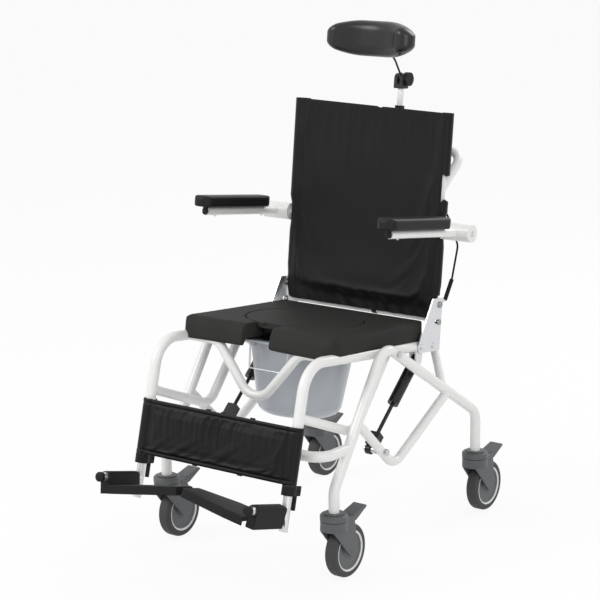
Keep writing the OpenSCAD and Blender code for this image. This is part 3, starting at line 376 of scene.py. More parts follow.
@dataclass(frozen=True)
class TwoTone(Finish):
    """One finish above a plane and another below it."""

    vary: float = 0.1
    below: Finish | None = None
    normal: Pair = (0.0, 1.0)
    level: float = 0.0
    blend: float = 0.0004

    def dress(self, shader: Shader) -> None:
        """Mixes tone, gloss and metal at the plane."""
        low = self.below or self
        y, z = (shader.node("ShaderNodeSeparateXYZ", {}, {0: shader.place}, axis) for axis in "YZ")
        height = y * self.normal[0] + z * self.normal[1]
        mask = height.ramp(self.level - self.blend, self.level + self.blend)
        tone = shader.blotch(self.patches)
        shader.set(Base_Color=shader.mix(mask, low.color, self.color),
                   Metallic=low.metal + mask * (self.metal - low.metal),
                   Roughness=low.rough + mask * (self.rough - low.rough) + self.vary * (tone - 0.5))
        shader.relief(shader.blotch(self.grain, detail=2.0), self.depth)


WHITE = PowderCoat("white_powder_coat", (0.80, 0.80, 0.785), 0.3, 650.0, 0.00012, coat=0.25)
BOLT = Brushed("bolt_steel", (0.34, 0.35, 0.36), 0.3, 1500.0, 0.00005, metal=1.0)
STEEL = Brushed("satin_steel", (0.62, 0.63, 0.64), 0.32, 1500.0, 0.00005, metal=1.0)
SILVER = Brushed("silver_alloy", (0.74, 0.75, 0.77), 0.36, 1200.0, 0.00005, metal=0.9)
GREY = Finish("castor_grey", (0.1, 0.104, 0.108), 0.46, 1300.0, 0.00012, gloss=0.4)
RUBBER = Finish("tyre_rubber", (0.055, 0.055, 0.054), 0.62, 700.0, 0.0002, gloss=0.3)
FOAM = FoamSkin("foam_skin", (0.038, 0.0372, 0.036), 0.62, 900.0, 0.00018, gloss=0.05)
LEATHER = FoamSkin("head_leather", (0.009, 0.009, 0.010), 0.3, 1100.0, 0.0001, gloss=0.42)
BLACK = Finish("black_plastic", (0.0095, 0.0095, 0.0095), 0.5, 1500.0, 0.0001, gloss=0.17)
CLOTH = CoatedCloth("coated_cloth", (0.0065, 0.0065, 0.0075), 0.38, 420.0, 0.0006, gloss=0.17)
PAN = Finish("pan_plastic", (0.47, 0.50, 0.54), 0.3, 500.0, 0.00006, coat=0.2)
STRUT = Finish("strut_black", (0.012, 0.012, 0.013), 0.34, 1600.0, 0.00005, coat=0.1, gloss=0.3)
HEAD_BAR = TwoTone("head_bar_alloy", BLACK.color, BLACK.rough, 1300.0, 0.00006, below=SILVER, level=1.0415)
ARM_FOAM = TwoTone("arm_foam", (0.013, 0.013, 0.0125), 0.42, 900.0, 0.00018, gloss=0.15, below=SILVER,
                   normal=(0.13226, 0.99122), level=0.75003)


class Workshop:
    """Operator steps shared by the sub-assemblies."""

    @staticmethod
    def only(obj: Piece) -> None:
        """Selects one object and makes it active."""
        if bpy.context.object and bpy.context.object.mode != "OBJECT":
            bpy.ops.object.mode_set(mode="OBJECT")
        bpy.ops.object.select_all(action="DESELECT")
        obj.select_set(True)
        bpy.context.view_layer.objects.active = obj

    @classmethod
    def modify(cls, obj: Piece, kind: str, **settings: object) -> None:
        """Adds a modifier with its settings and applies it."""
        cls.only(obj)
        bpy.ops.object.modifier_add(type=kind)
        made = obj.modifiers[-1]
        for key, value in settings.items():
            setattr(made, key, value)
        bpy.ops.object.modifier_apply(modifier=made.name)

    @staticmethod
    def link(name: str, data: bpy.types.ID) -> Piece:
        """Puts a mesh, curve, lamp or camera into the scene."""
        obj = bpy.data.objects.new(name, data)
        bpy.context.collection.objects.link(obj)
        return obj

    @staticmethod
    def primitive(add: Callable[..., object], name: str, **settings: object) -> Piece:
        """Adds a primitive mesh by its operator and settings."""
        bpy.ops.object.select_all(action="DESELECT")
        add(**settings)
        bpy.context.object.name = name
        return bpy.context.object

    @classmethod
    def copy_of(cls, node: str, name: str) -> Piece:
        """Copies a solid's mesh to the origin and merges its loose triangles."""
        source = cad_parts[node]
        mesh = source.data.copy()
        mesh.transform(source.matrix_world)
        mesh.materials.clear()
        obj = cls.link(name, mesh)
        shape = bmesh.new()
        shape.from_mesh(mesh)
        bmesh.ops.remove_doubles(shape, verts=shape.verts, dist=MERGE)
        shape.to_mesh(mesh)
        shape.free()
        return obj

    @classmethod
    def finish(cls, obj: Piece, body: str, slot: str, paint: Finish, stands_for: Sequence[str] = ()) -> Piece:
        """Smooths, paints and mounts a piece, and returns it.

        Args:
            obj: The piece.
            body: Body that it rides on.
            slot: Not used.
            paint: Its finish.
            stands_for: Solids that it replaces.
        """
        cls.only(obj)
        if obj.type == "MESH":
            bpy.ops.object.shade_smooth_by_angle(angle=SMOOTH_ANGLE)
        obj.data.materials.clear()
        obj.data.materials.append(PAINTS.of(paint))
        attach(obj, body)
        if stands_for:
            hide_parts(*stands_for)
        LOG.info("%s rides on %s", obj.name, body)
        return obj


class Paints:
    """Materials that are made once and shared."""

    def __init__(self) -> None:
        """Starts with none."""
        self.made: dict[str, bpy.types.Material] = {}

    def of(self, finish: Finish) -> bpy.types.Material:
        """Material of a finish."""
        if finish.name not in self.made:
            self.made[finish.name] = finish.make()
        return self.made[finish.name]


PAINTS = Paints()


@dataclass
class Solids:
    """The carried-over solids and their finishes."""

    finishes: dict[str, Finish] = field(default_factory=lambda: {
        "base_": WHITE, "pivot_bolts": STEEL, "spring_studs": STEEL, "castor_tops": GREY, "tyre_": RUBBER,
        "seat_frame": WHITE, "front_dip": WHITE, "hinge_plate": SILVER, "pan_rails": BLACK, "pan_bail": STEEL,
        "pan": PAN, "spring_rod": STRUT, "spring_body": STRUT, "back_frame": WHITE, "push_bar": WHITE,
        "back_bolts": BOLT, "arm_": WHITE, "head_bar": HEAD_BAR, "leg_": SILVER})

    def paint(self) -> None:
        """Gives every solid its material, black if none is named, and each hub its own ring."""
        for name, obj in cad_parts.items():
            if name.startswith("hub_"):
                low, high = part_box(name)
                finish: Finish = WheelFace(name + "_face", GREY.color, GREY.rough, GREY.grain, GREY.depth,
                                           axle=((low[1] + high[1]) / 2, (low[2] + high[2]) / 2))
            else:
                match = [key for key in self.finishes if name.startswith(key)]
                finish = self.finishes[max(match, key=len)] if match else BLACK
            obj.data.materials.clear()
            obj.data.materials.append(PAINTS.of(finish))


@dataclass
class Wrap:
    """Cloth band drawn across two tubes and round behind each of them.

    The band stands in XZ about the tubes' plane, and its front faces -Y.
    """

    name: str
    half: float
    tube_r: float
    low: float
    high: float
    thick: float
    columns: int = 150
    rows: int = 100
    around: float = math.radians(235)
    at: Callable[[], Matrix] = STANCE.seat
    offset_y: float = 0.0
    slack: float = 0.0
    stiff: float = 0.6
    weight: float = 0.05
    frames: int = 20
    cap: float = 0.006
    relief_turn: float = 1.2
    hem: float = 0.004

    def relief(self, x: float, z: float) -> float:
        """How far the front stands forward of the tubes' tangent plane."""
        return 0.0

    def keeps(self, x: float, z: float, wrapped: float) -> bool:
        """Whether the cloth is there: false in a cut-out."""
        return True

    def swell(self, z: float) -> float:
        """How far the cloth stands off beside a tube."""
        return 0.0

    def foot(self, x: float, wrapped: float) -> float:
        """Height of the lower edge at x and round the tube."""
        return self.low

    def head(self, x: float) -> float:
        """Height of the upper edge at x."""
        return self.high

    def point(self, run: float, z_share: float) -> tuple[Vector, float, float]:
        """Point of the cloth.

        Args:
            run: Place along the band in metres, 0 at the middle of the front.
            z_share: Place up the band, 0 to 1.

        Returns:
            The point, its x on the front, and its angle round the tube.
        """
        sign = 1.0 if run >= 0 else -1.0
        length = abs(run)
        if length <= self.half:
            x, angle = run, 0.0
        else:
            x, angle = sign * self.half, (length - self.half) / self.tube_r
        low, high = self.foot(x, angle), self.head(x)
        z = low + (high - low) * z_share
        bulge = self.relief(x, z) * max(0.0, 1.0 - angle / self.relief_turn)
        if angle <= 0:
            return Vector((x, self.offset_y - self.tube_r - bulge, z)), x, 0.0
        out = self.tube_r + bulge + self.swell(z) * max(0.0, math.sin(angle))
        return Vector((x + sign * out * math.sin(angle), self.offset_y - out * math.cos(angle), z)), x, angle

    def build(self) -> Piece:
        """Lofts the band, cuts it out and gives it its thickness."""
        shape = bmesh.new()
        reach = self.half + self.tube_r * self.around
        place = self.at()
        grid, marks = [], []
        for j in range(self.rows + 1):
            line, mark = [], []
            for i in range(self.columns + 1):
                p, x, angle = self.point(reach * (2 * i / self.columns - 1), j / self.rows)
                line.append(shape.verts.new(place @ p))
                mark.append((x, p.z, angle))
            grid.append(line)
            marks.append(mark)
        for j in range(self.rows):
            for i in range(self.columns):
                x, z, angle = (sum(c) / 2 for c in zip(marks[j][i], marks[j + 1][i + 1]))
                if self.keeps(x, z, angle):
                    shape.faces.new((grid[j][i], grid[j][i + 1], grid[j + 1][i + 1], grid[j + 1][i]))
        bmesh.ops.delete(shape, geom=[v for v in shape.verts if not v.link_faces], context="VERTS")
        shape.verts.index_update()
        held = [v.index for line, mark in zip(grid, marks) for v, at in zip(line, mark)
                if v.is_valid and self.holds(*at)]
        mesh = bpy.data.meshes.new(self.name)
        shape.to_mesh(mesh)
        shape.free()
        obj = Workshop.link(self.name, mesh)
        if self.slack:
            self.settle(obj, held)
        Workshop.modify(obj, "SOLIDIFY", thickness=self.thick, offset=-1.0)
        return obj

    def holds(self, x: float, z: float, wrapped: float) -> bool:
        """Whether the cloth is held there while it settles."""
        return wrapped > 0 or abs(x) > self.half - self.hem

    def settle(self, obj: Piece, held: Sequence[int]) -> None:
        """Lets the cloth buckle from a little spare length, but for its held points, and limits each move."""
        obj.vertex_groups.new(name="held").add(list(held), 1.0, "REPLACE")
        Workshop.only(obj)
        bpy.ops.object.modifier_add(type="CLOTH")
        cloth = obj.modifiers[-1]
        settings = {"quality": 6, "mass": 0.2, "tension_stiffness": 25.0, "compression_stiffness": 25.0,
                    "shear_stiffness": 8.0, "bending_stiffness": self.stiff, "vertex_group_mass": "held",
                    "shrink_min": -self.slack}
        for key, value in settings.items():
            setattr(cloth.settings, key, value)
        cloth.settings.effector_weights.gravity = self.weight
        cloth.point_cache.frame_start, cloth.point_cache.frame_end = 1, self.frames
        for step in range(1, self.frames + 1):
            bpy.context.scene.frame_set(step)
        settled = obj.evaluated_get(bpy.context.evaluated_depsgraph_get()).to_mesh()
        moves = [b.co - a.co for a, b in zip(obj.data.vertices, settled.vertices)]
        obj.modifiers.remove(cloth)
        bpy.context.scene.frame_set(1)
        for vertex, move in zip(obj.data.vertices, moves):
            length = move.length
            if length > 0:
                vertex.co += move * (self.cap * math.tanh(length / self.cap) / length)


def wrinkle(x: float, z: float, across: float, along: float, seed: float,
            sway: float = 9.0, wander: float = 0.7, crisp: float = 0.8) -> float:
    """Soft crease field from -1 to 1.

    Args:
        x: Place across the creases.
        z: Place along them.
        across: Creases per metre.
        along: Changes per metre along a crease.
        seed: Shift of the pattern.
        sway: Changes per metre of a crease's line.
        wander: How far the line strays, in creases.
        crisp: Power of the height, less than 1 for steeper sides.

    Returns:
        The height.
    """
    bend = noise.noise(Vector((x * sway, z * sway, seed))) * wander
    value = noise.noise(Vector((x * across + bend, z * along + seed, seed * 3)))
    return math.copysign(abs(value) ** crisp, value)


@dataclass
class Sling(Wrap):
    """Back sling with cut-outs for the armrests and push bar, and a slumped foot.

    Pairs are values below and above, a seam's inset and width, or turns round the left and right tube.
    """

    corner: float = 0.012
    corner_rise: float = 0.003
    slant: float = 0.052
    slant_turn: float = 1.3
    head_fall: float = 0.0035
    nick_x: float = 0.031
    nick_w: float = 0.006
    nick_h: float = 0.003
    pivot_z: float = 0.275
    loose: Pair = (0.0022, 0.0055)
    loose_zone: Pair = (-0.125, 0.02)
    pivot_zone: Pair = (-0.022, 0.02)
    belly: float = 0.004
    fold_z: float = 0.113
    fold_h: float = 0.012
    fold_w: Pair = (0.017, 0.075)
    fold_fall: float = 0.012
    fold_wave: float = 0.006
    below: float = 0.02
    crease_h: float = 0.0042
    drape_h: float = 0.0011
    seam: Pair = (0.018, 0.0025)
    seam_h: float = 0.0015
    hems: Pair = (0.006, 0.008)
    arm_gap: Pair = (0.261, 0.289)
    arm_turns: Pair = (0.9, 2.3)
    push_gap: Pair = (0.346, 0.406)
    push_turn: Pair = (0.8, 1.6)

    def foot(self, x: float, wrapped: float) -> float:
        """Lower edge, cut up at a slant round each tube."""
        corner = max(0.0, abs(x) - (self.half - self.corner)) / self.corner
        return self.low + self.corner_rise * corner ** 2 + self.slant * min(1.0, wrapped / self.slant_turn)

    def head(self, x: float) -> float:
        """Upper edge, a little higher on the sitter's right, with the strap's nick."""
        return self.high - self.head_fall * x / self.half - self.nick_h * hump(x - self.nick_x, self.nick_w)

    def swell(self, z: float) -> float:
        """Loose sides above the corner at the foot, drawn in at the armrest's pivot."""
        loose = self.loose[z > self.pivot_z]
        return loose * fade(z, self.loose_zone) * fade(abs(z - self.pivot_z), self.pivot_zone)

    def relief(self, x: float, z: float) -> float:
        """Gentle belly, a fold near the foot and creases below it."""
        span = math.cos(math.pi * x / (2 * self.half)) ** 0.6 if abs(x) < self.half else 0.0
        belly = self.belly * span * math.sin(math.pi * (z - self.low) / (self.high - self.low))
        line = self.fold_z - self.fold_fall * (x / self.half) + self.fold_wave * math.sin(9 * x + 0.6)
        d = z - line
        roll = self.fold_h * span * hump(d, self.fold_w[d > 0])
        folds = wrinkle(x + 0.6 * z, z, across=38, along=6, seed=2.3)
        creases = self.crease_h * unit(-d / self.below) * span * folds
        drape = self.drape_h * span * wrinkle(x - 0.7 * z, z, across=7, along=2.4, seed=5.1)
        seam = -self.seam_h * hump(abs(x) - (self.half - self.seam[0]), self.seam[1])
        return belly + roll + creases + drape + seam

    def holds(self, x: float, z: float, wrapped: float) -> bool:
        """Held by the sleeves, the hem at the top and the strap along the foot."""
        hemmed = z > self.high - self.hems[1] or z < self.low + self.hems[0]
        return hemmed or super().holds(x, z, wrapped)

    def keeps(self, x: float, z: float, wrapped: float) -> bool:
        """Cut-outs at the armrest's pivot and behind, for the push bar."""
        arm = self.arm_turns[0] < wrapped < self.arm_turns[1] and self.arm_gap[0] < z < self.arm_gap[1]
        push = wrapped > self.push_turn[x <= 0] and self.push_gap[0] < z < self.push_gap[1]
        return not arm and not push


@dataclass
class CalfBand(Wrap):
    """Padded calf band with bound edges, a side seam and creases in its panel."""

    binding: float = 0.010
    bound: float = 0.001
    crown_h: float = 0.0065
    crown_w: float = 0.022
    groove: float = 0.0022
    roll_h: float = 0.002
    roll_w: float = 0.004
    side: Pair = (0.016, 0.02)
    seam: Pair = (0.014, 0.0028)
    seam_h: float = 0.003
    crease_h: float = 0.0085
    crease_w: float = 0.008

    def holds(self, x: float, z: float, wrapped: float) -> bool:
        """Held by the bindings and the side bands."""
        edge = min(z - self.low, self.high - z)
        return wrapped > 0 or abs(x) > self.half - self.side[0] or edge < self.binding + self.bound

    def relief(self, x: float, z: float) -> float:
        """Crowned panel between bound edges, with creases from the top and foot."""
        v = (z - self.low) / (self.high - self.low)
        edge = min(z - self.low, self.high - z)
        inside = edge - self.binding
        crown = self.crown_h * unit(inside / self.crown_w) ** 0.6
        groove = -self.groove * hump(inside, self.groove)
        roll = self.roll_h * hump(edge - self.binding / 2, self.roll_w)
        side = unit((self.half - self.side[0] - abs(x)) / self.side[1]) if abs(x) < self.half else 0.0
        seam = -self.seam_h * hump(abs(x) - (self.half - self.seam[0]), self.seam[1])
        slant = x + 0.025 * math.sin(2.4 * v)
        middle = 0.35 + 0.65 * hump(x + 0.01, 0.1)
        top = max(0.0, v - 0.2) * middle * wrinkle(slant, z, across=88, along=8, seed=7.7)
        base = max(0.0, 0.55 - v) * wrinkle(x - 1.3 * z, z, across=46, along=9, seed=3.4)
        creases = unit(inside / self.crease_w) * self.crease_h * (top + 0.7 * base)
        return side * (crown + creases) + groove + roll + seam


@dataclass
class Upholstery:
    """The sling, the calf band and its tabs."""

    tabs: tuple[Pair, ...] = (
        (-0.030, -0.1408), (0.013, -0.1408), (0.096, -0.1408), (-0.048, -0.2672), (0.081, -0.2672))
    tab_y: float = -0.0115
    tab_size: Sequence[float] = (0.014, 0.0035, 0.0072)
    tab_ease: float = 0.0012

    def dress(self) -> None:
        """Builds both bands and mounts them."""
        sling = Sling("sling", half=0.207, tube_r=0.0160, low=0.063, high=0.5565, thick=0.0028,
                      offset_y=0.211, slack=0.002).build()
        Workshop.finish(sling, "back", "vinyl", CLOTH, ["back_sling"])
        calf = CalfBand("calf_band", half=0.212, tube_r=0.0158, low=-0.268, high=-0.140, thick=0.0026,
                        columns=220, rows=64, around=math.radians(250), at=STANCE.hangers,
                        slack=0.006, stiff=0.2, cap=0.004).build()
        Workshop.finish(calf, "seat", "vinyl", CLOTH, ["calf_pad"])
        for index, (x, z) in enumerate(self.tabs):
            self.tab(f"calf_tab_{index}", x, z)

    def tab(self, name: str, x: float, z: float) -> None:
        """Webbing tab about x that shows at an edge of the calf band, at height z."""
        obj = Workshop.primitive(bpy.ops.mesh.primitive_cube_add, name, size=1, location=(x, self.tab_y, z))
        obj.scale = self.tab_size
        bpy.ops.object.transform_apply(location=True, rotation=True, scale=True)
        Workshop.modify(obj, "BEVEL", width=self.tab_ease, segments=2)
        obj.data.transform(STANCE.hangers())
        Workshop.finish(obj, "seat", "vinyl", CLOTH)


@dataclass
class Foam:
    """A moulded foam piece: its solid, rounded by remeshing and smoothing."""

    node: str
    name: str
    body: str
    voxel: float = 0.0032
    rounds: int = 8
    paint: Finish = FOAM

    def dress(self) -> None:
        """Builds, shapes and mounts the piece."""
        obj = Workshop.copy_of(self.node, self.name)
        self.cut(obj)
        Workshop.modify(obj, "REMESH", mode="VOXEL", voxel_size=self.voxel)
        Workshop.modify(obj, "SMOOTH", factor=0.5, iterations=self.rounds)
        forth = STANCE.seat()
        back = forth.inverted()
        for vertex in obj.data.vertices:
            vertex.co = forth @ self.form(back @ vertex.co)
        Workshop.finish(obj, self.body, "foam", self.paint, [self.node])

    def cut(self, obj: Piece) -> None:
        """Changes the blank before it is rounded."""

    def form(self, p: Vector) -> Vector:
        """Moves a point of the rounded piece, in the seat frame."""
        return p


@dataclass
class HeadCushion(Foam):
    """The head pad, lower towards its ends."""

    middle: float = 0.713
    lift: float = 0.003
    taper: float = 0.52
    taper_zone: Pair = (-0.030, 0.093)
    power: float = 2.1

    def form(self, p: Vector) -> Vector:
        """Draws the ends in towards the middle height."""
        share = fade(abs(p.x), self.taper_zone) ** self.power
        p.z = self.middle + self.lift + (p.z - self.middle) * (1 - self.taper * share)
        return p


@dataclass
class Cushion(Foam):
    """The seat and its lid: one rising top, with the lid let into a shallow rebate."""

    rise: float = 0.0085
    rise_zone: Pair = (-0.016, 0.016)
    front: float = -0.214
    depth: float = 0.396
    middle: Vector = field(default_factory=lambda: Vector((0, -0.019, 0)))
    lid_r: float = 0.1400
    ledge: float = 0.0370

    def along(self, p: Vector) -> float:
        """Share of the way from the front to the back."""
        return unit((p.y - self.front) / self.depth)

    def blank(self, name: str, radius: float, low: float, high: float) -> Piece:
        """Upright disc about the lid's middle, between two heights in the seat frame."""
        obj = Workshop.primitive(bpy.ops.mesh.primitive_cylinder_add, name,
                                 vertices=128, radius=radius, depth=high - low)
        obj.data.transform(STANCE.seat() @ Matrix.Translation((self.middle.x, self.middle.y, (low + high) / 2)))
        return obj

    @staticmethod
    def carve(obj: Piece, cutter: Piece) -> None:
        """Takes a cutter out of the piece and removes the cutter."""
        Workshop.modify(obj, "BOOLEAN", operation="DIFFERENCE", solver="EXACT", object=cutter)
        bpy.data.objects.remove(cutter)

    def form(self, p: Vector) -> Vector:
        """Rise of the top towards the back."""
        p.z += self.rise * self.along(p) ** 1.3 * fade(p.z, self.rise_zone)
        return p


@dataclass
class SeatCushion(Cushion):
    """The seat: a rebate for the lid, a fuller front and a skirt over the frame.

    A pair of lengths is the one at the front and what it loses towards the back.
    """

    half: float = 0.216
    play: float = 0.0012
    sink: float = 0.0006
    clear_z: float = 0.09
    skirt_zone: Pair = (0.030, 0.012)
    flare_zone: Pair = (0.046, 0.026)
    side_zone: Pair = (0.018, 0.010)
    nose_zone: Pair = (0.022, 0.010)
    top_zone: Pair = (-0.018, 0.030)
    full_zone: Pair = (0.050, 0.030)
    full: float = 0.0105
    flare: Pair = (0.0085, 0.0065)
    side_drop: Pair = (0.014, 0.011)
    nose_drop: float = 0.015
    corner_drop: float = 0.022

    def cut(self, obj: Piece) -> None:
        """Sinks the rebate of the lid."""
        self.carve(obj, self.blank("rebate", self.lid_r + self.play, self.ledge - self.sink, self.clear_z))

    def form(self, p: Vector) -> Vector:
        """Skirt at the front and sides, full front edge, rise towards the back."""
        along = self.along(p)
        flare, side_drop = (front - loss * along for front, loss in (self.flare, self.side_drop))
        low = fade(-p.z, self.skirt_zone)
        side = fade(abs(p.x) - self.half, self.side_zone)
        nose = fade(self.front - p.y, self.nose_zone)
        full = fade(p.z, self.top_zone) * fade(self.front - p.y, self.full_zone)
        p = super().form(p)
        p.x += math.copysign(fade(-p.z, self.flare_zone) * side * flare, p.x)
        p.y -= self.full * full
        p.z -= low * max(nose * (self.nose_drop + self.corner_drop * abs(p.x)), side * side_drop)
        return p


@dataclass
class LidCushion(Cushion):
    """The lid: a broad round cap on the plug, with a finger notch at its front."""

    top: float = 0.0500
    notch_x: float = 0.004
    notch_z: float = 0.0475
    notch_size: Sequence[float] = (0.048, 0.022, 0.011)

    def cut(self, obj: Piece) -> None:
        """Adds the cap, then takes out the notch."""
        cap = self.blank("cap", self.lid_r, self.ledge, self.top)
        notch = Workshop.primitive(bpy.ops.mesh.primitive_cube_add, "notch", size=1)
        place = Matrix.Translation((self.notch_x, self.middle.y - self.lid_r, self.notch_z))
        notch.data.transform(STANCE.seat() @ place @ Matrix.Diagonal((*self.notch_size, 1.0)))
        self.carve(cap, notch)
        Workshop.only(obj)
        cap.select_set(True)
        bpy.ops.object.join()


@dataclass
class Moulding:
    """A plastic moulding: its solid with the edges rounded."""

    node: str
    body: str
    voxel: float = 0.0014
    rounds: int = 4
    slot: str = "castor"
    paint: Finish = GREY
    ease: float = 0.0007

    def dress(self) -> None:
        """Builds and mounts the moulding."""
        obj = Workshop.copy_of(self.node, self.node + "_moulding")
        Workshop.modify(obj, "REMESH", mode="VOXEL", voxel_size=self.voxel)
        Workshop.modify(obj, "SMOOTH", factor=0.5, iterations=self.rounds)
        Workshop.modify(obj, "DISPLACE", strength=-self.ease, mid_level=0.0)
        Workshop.modify(obj, "DECIMATE", ratio=0.5)
        Workshop.finish(obj, self.body, self.slot, self.paint, [self.node])


@dataclass
class Plugs:
    """Black end plugs in the open tube ends, and the band on the back's cross bar."""

    rail_end_y: float = 0.211
    foot_x: float = 0.207
    foot_z: float = 0.044
    axle_y: float = -0.1385
    axle_z: float = -0.324
    axle_cap: Pair = (0.0113, 0.0095)
    steps: tuple[Pair, ...] = ((0.003, 0.0012), (0.004, 0.0005))
    plug_ease: float = 0.0008
    stand: float = 0.0012
    bar_z: float = 0.064
    bar_r: float = 0.011
    band_x: float = 0.046
    band_w: float = 0.014
    tape: float = 0.0007
    band_steps: tuple[Pair, ...] = ((0.0005, 0.0),)
    band_ease: float = 0.0004

    def dress(self) -> None:
        """Puts a plug in each end, and adds the band."""
        quarter = math.pi / 2
        for side in Side:
            name = side.name.lower()
            rail = pose((side.value * STANCE.rail_x, self.rail_end_y, 0), -quarter)
            foot = pose((side.value * self.foot_x, self.rail_end_y, self.foot_z), math.pi)
            axle = pose((side.value * STANCE.rail_x, self.axle_y, self.axle_z), quarter)
            self.plug(f"rail_plug_{name}", STANCE.seat() @ rail, "seat")
            self.plug(f"upright_plug_{name}", STANCE.seat() @ foot, "back")
            self.plug(f"axle_cap_{name}", STANCE.hangers() @ axle, f"leg_{name[0]}", *self.axle_cap)
        self.band("bar_band", pose((self.band_x, self.rail_end_y, self.bar_z), quarter, "Y"))

    def plug(self, name: str, place: Matrix, body: str, radius: float = 0.0124, depth: float = 0.004) -> None:
        """Low domed plug with its flange on a tube's end, in a frame with +Z out of it."""
        obj = self.disc(name, radius, depth, self.steps, self.plug_ease)
        obj.data.transform(place @ Matrix.Translation((0, 0, self.stand)))
        Workshop.finish(obj, body, "plastic", BLACK)

    def band(self, name: str, place: Matrix) -> None:
        """Tape band round the bar, in a frame with +Z along it."""
        obj = self.disc(name, self.bar_r + self.tape, self.band_w, self.band_steps, self.band_ease, both=True)
        obj.data.transform(STANCE.seat() @ place)
        Workshop.finish(obj, "back", "vinyl", CLOTH)

    @staticmethod
    def disc(name: str, radius: float, depth: float, steps: Sequence[Pair], ease: float,
             both: bool = False) -> Piece:
        """Round blank with eased edges, and steps of inset and rise on its upper face or on both."""
        obj = Workshop.primitive(bpy.ops.mesh.primitive_cylinder_add, name,
                                 vertices=40, radius=radius, depth=depth)
        bpy.ops.object.mode_set(mode="EDIT")
        bpy.ops.mesh.select_all(action="DESELECT")
        shape = bmesh.from_edit_mesh(obj.data)
        for face in shape.faces:
            face.select_set((abs(face.normal.z) if both else face.normal.z) > 0.9)
        bmesh.update_edit_mesh(obj.data)
        for inset, rise in steps:
            bpy.ops.mesh.inset(thickness=inset)
            bpy.ops.transform.translate(value=(0, 0, rise))
        bpy.ops.object.mode_set(mode="OBJECT")
        Workshop.modify(obj, "BEVEL", width=ease, segments=2, limit_method="ANGLE")
        return obj


@dataclass
class Cable:
    """Release cable from the push bar down to the foot of the back."""

    side: Side
    diameter: float = 0.005
    bend_r: float = 0.030
    lever_x: float = 0.150
    upright_x: float = 0.207
    back_y: float = 0.211
    outset: float = 0.019
    sleeve_foot: Pair = (0.024, 0.106)
    anchor: Sequence[float] = (0.2145, 0.008, 0.1015)
    anchor_r: float = 0.0036
    ease: float = 0.0012

    def route(self) -> list[Vector]:
        """Points of the cable in the seat frame, from the push bar to its sleeve."""
        x, y = self.upright_x, self.back_y
        return [Vector(p) for p in (
            (self.lever_x, y + 0.0912, 0.4481), (self.lever_x, y + 0.052, 0.368), (x, y + 0.044, 0.304),
            (x + self.outset, y + 0.066, 0.236), (x + self.outset, y + 0.049, 0.155))]

    def dress(self) -> Piece:
        """Builds the cable as one smooth spline and mounts it."""
        sign = self.side.value
        place = STANCE.seat()
        points = [place @ p for p in self.fillet([Vector((sign * p.x, p.y, p.z)) for p in self.route()])]
        data = bpy.data.curves.new(f"release_cable_{self.side.name.lower()}", "CURVE")
        data.dimensions, data.bevel_depth, data.bevel_resolution = "3D", self.diameter / 2, 3
        data.use_fill_caps = True
        spline = data.splines.new("POLY")
        spline.points.add(len(points) - 1)
        for target, p in zip(spline.points, points):
            target.co = (*p, 1)
        obj = Workshop.link(data.name, data)
        Workshop.finish(obj, "back", "plastic", BLACK)
        length = sum((b - a).length for a, b in zip(points, points[1:]))
        foot, anchor = (place @ Vector((sign * x, self.back_y + y, z)) for x, y, z in (
            (self.upright_x + self.outset, *self.sleeve_foot), self.anchor))
        sleeve = self.sleeve(points[-1], foot)
        self.sleeve(foot, anchor, "cable_anchor", self.anchor_r, "plate", SILVER)
        return obj

    def sleeve(self, top: Vector, foot: Vector, name: str = "cable_sleeve", radius: float = 0.005,
               slot: str = "plastic", paint: Finish = BLACK) -> Piece:
        """Round sleeve between two points, with eased ends and its side in its name."""
        axis = (foot - top).normalized()
        obj = Workshop.primitive(bpy.ops.mesh.primitive_cylinder_add, f"{name}_{self.side.name.lower()}",
                                 vertices=24, radius=radius, depth=(foot - top).length)
        bpy.ops.object.mode_set(mode="EDIT")
        bpy.ops.mesh.select_all(action="SELECT")
        bpy.ops.mesh.bevel(offset=self.ease, segments=2)
        bpy.ops.object.mode_set(mode="OBJECT")
        turn = Vector((0, 0, -1)).rotation_difference(axis).to_matrix().to_4x4()
        obj.data.transform(Matrix.Translation((top + foot) / 2) @ turn)
        return Workshop.finish(obj, "back", slot, paint)

    def fillet(self, ends: Sequence[Vector], steps: int = 6) -> list[Vector]:
        """Straight runs with round bends between points."""
        points = [ends[0]]
        for a, b, c in zip(ends, ends[1:], ends[2:]):
            u, v = (a - b).normalized(), (c - b).normalized()
            reach = self.bend_r / math.tan(u.angle(v) / 2)
            for k in range(steps + 1):
                t = k / steps
                points.append(b + u * reach * (1 - t) ** 2 + v * reach * t ** 2)
        points.append(ends[-1])
        return points


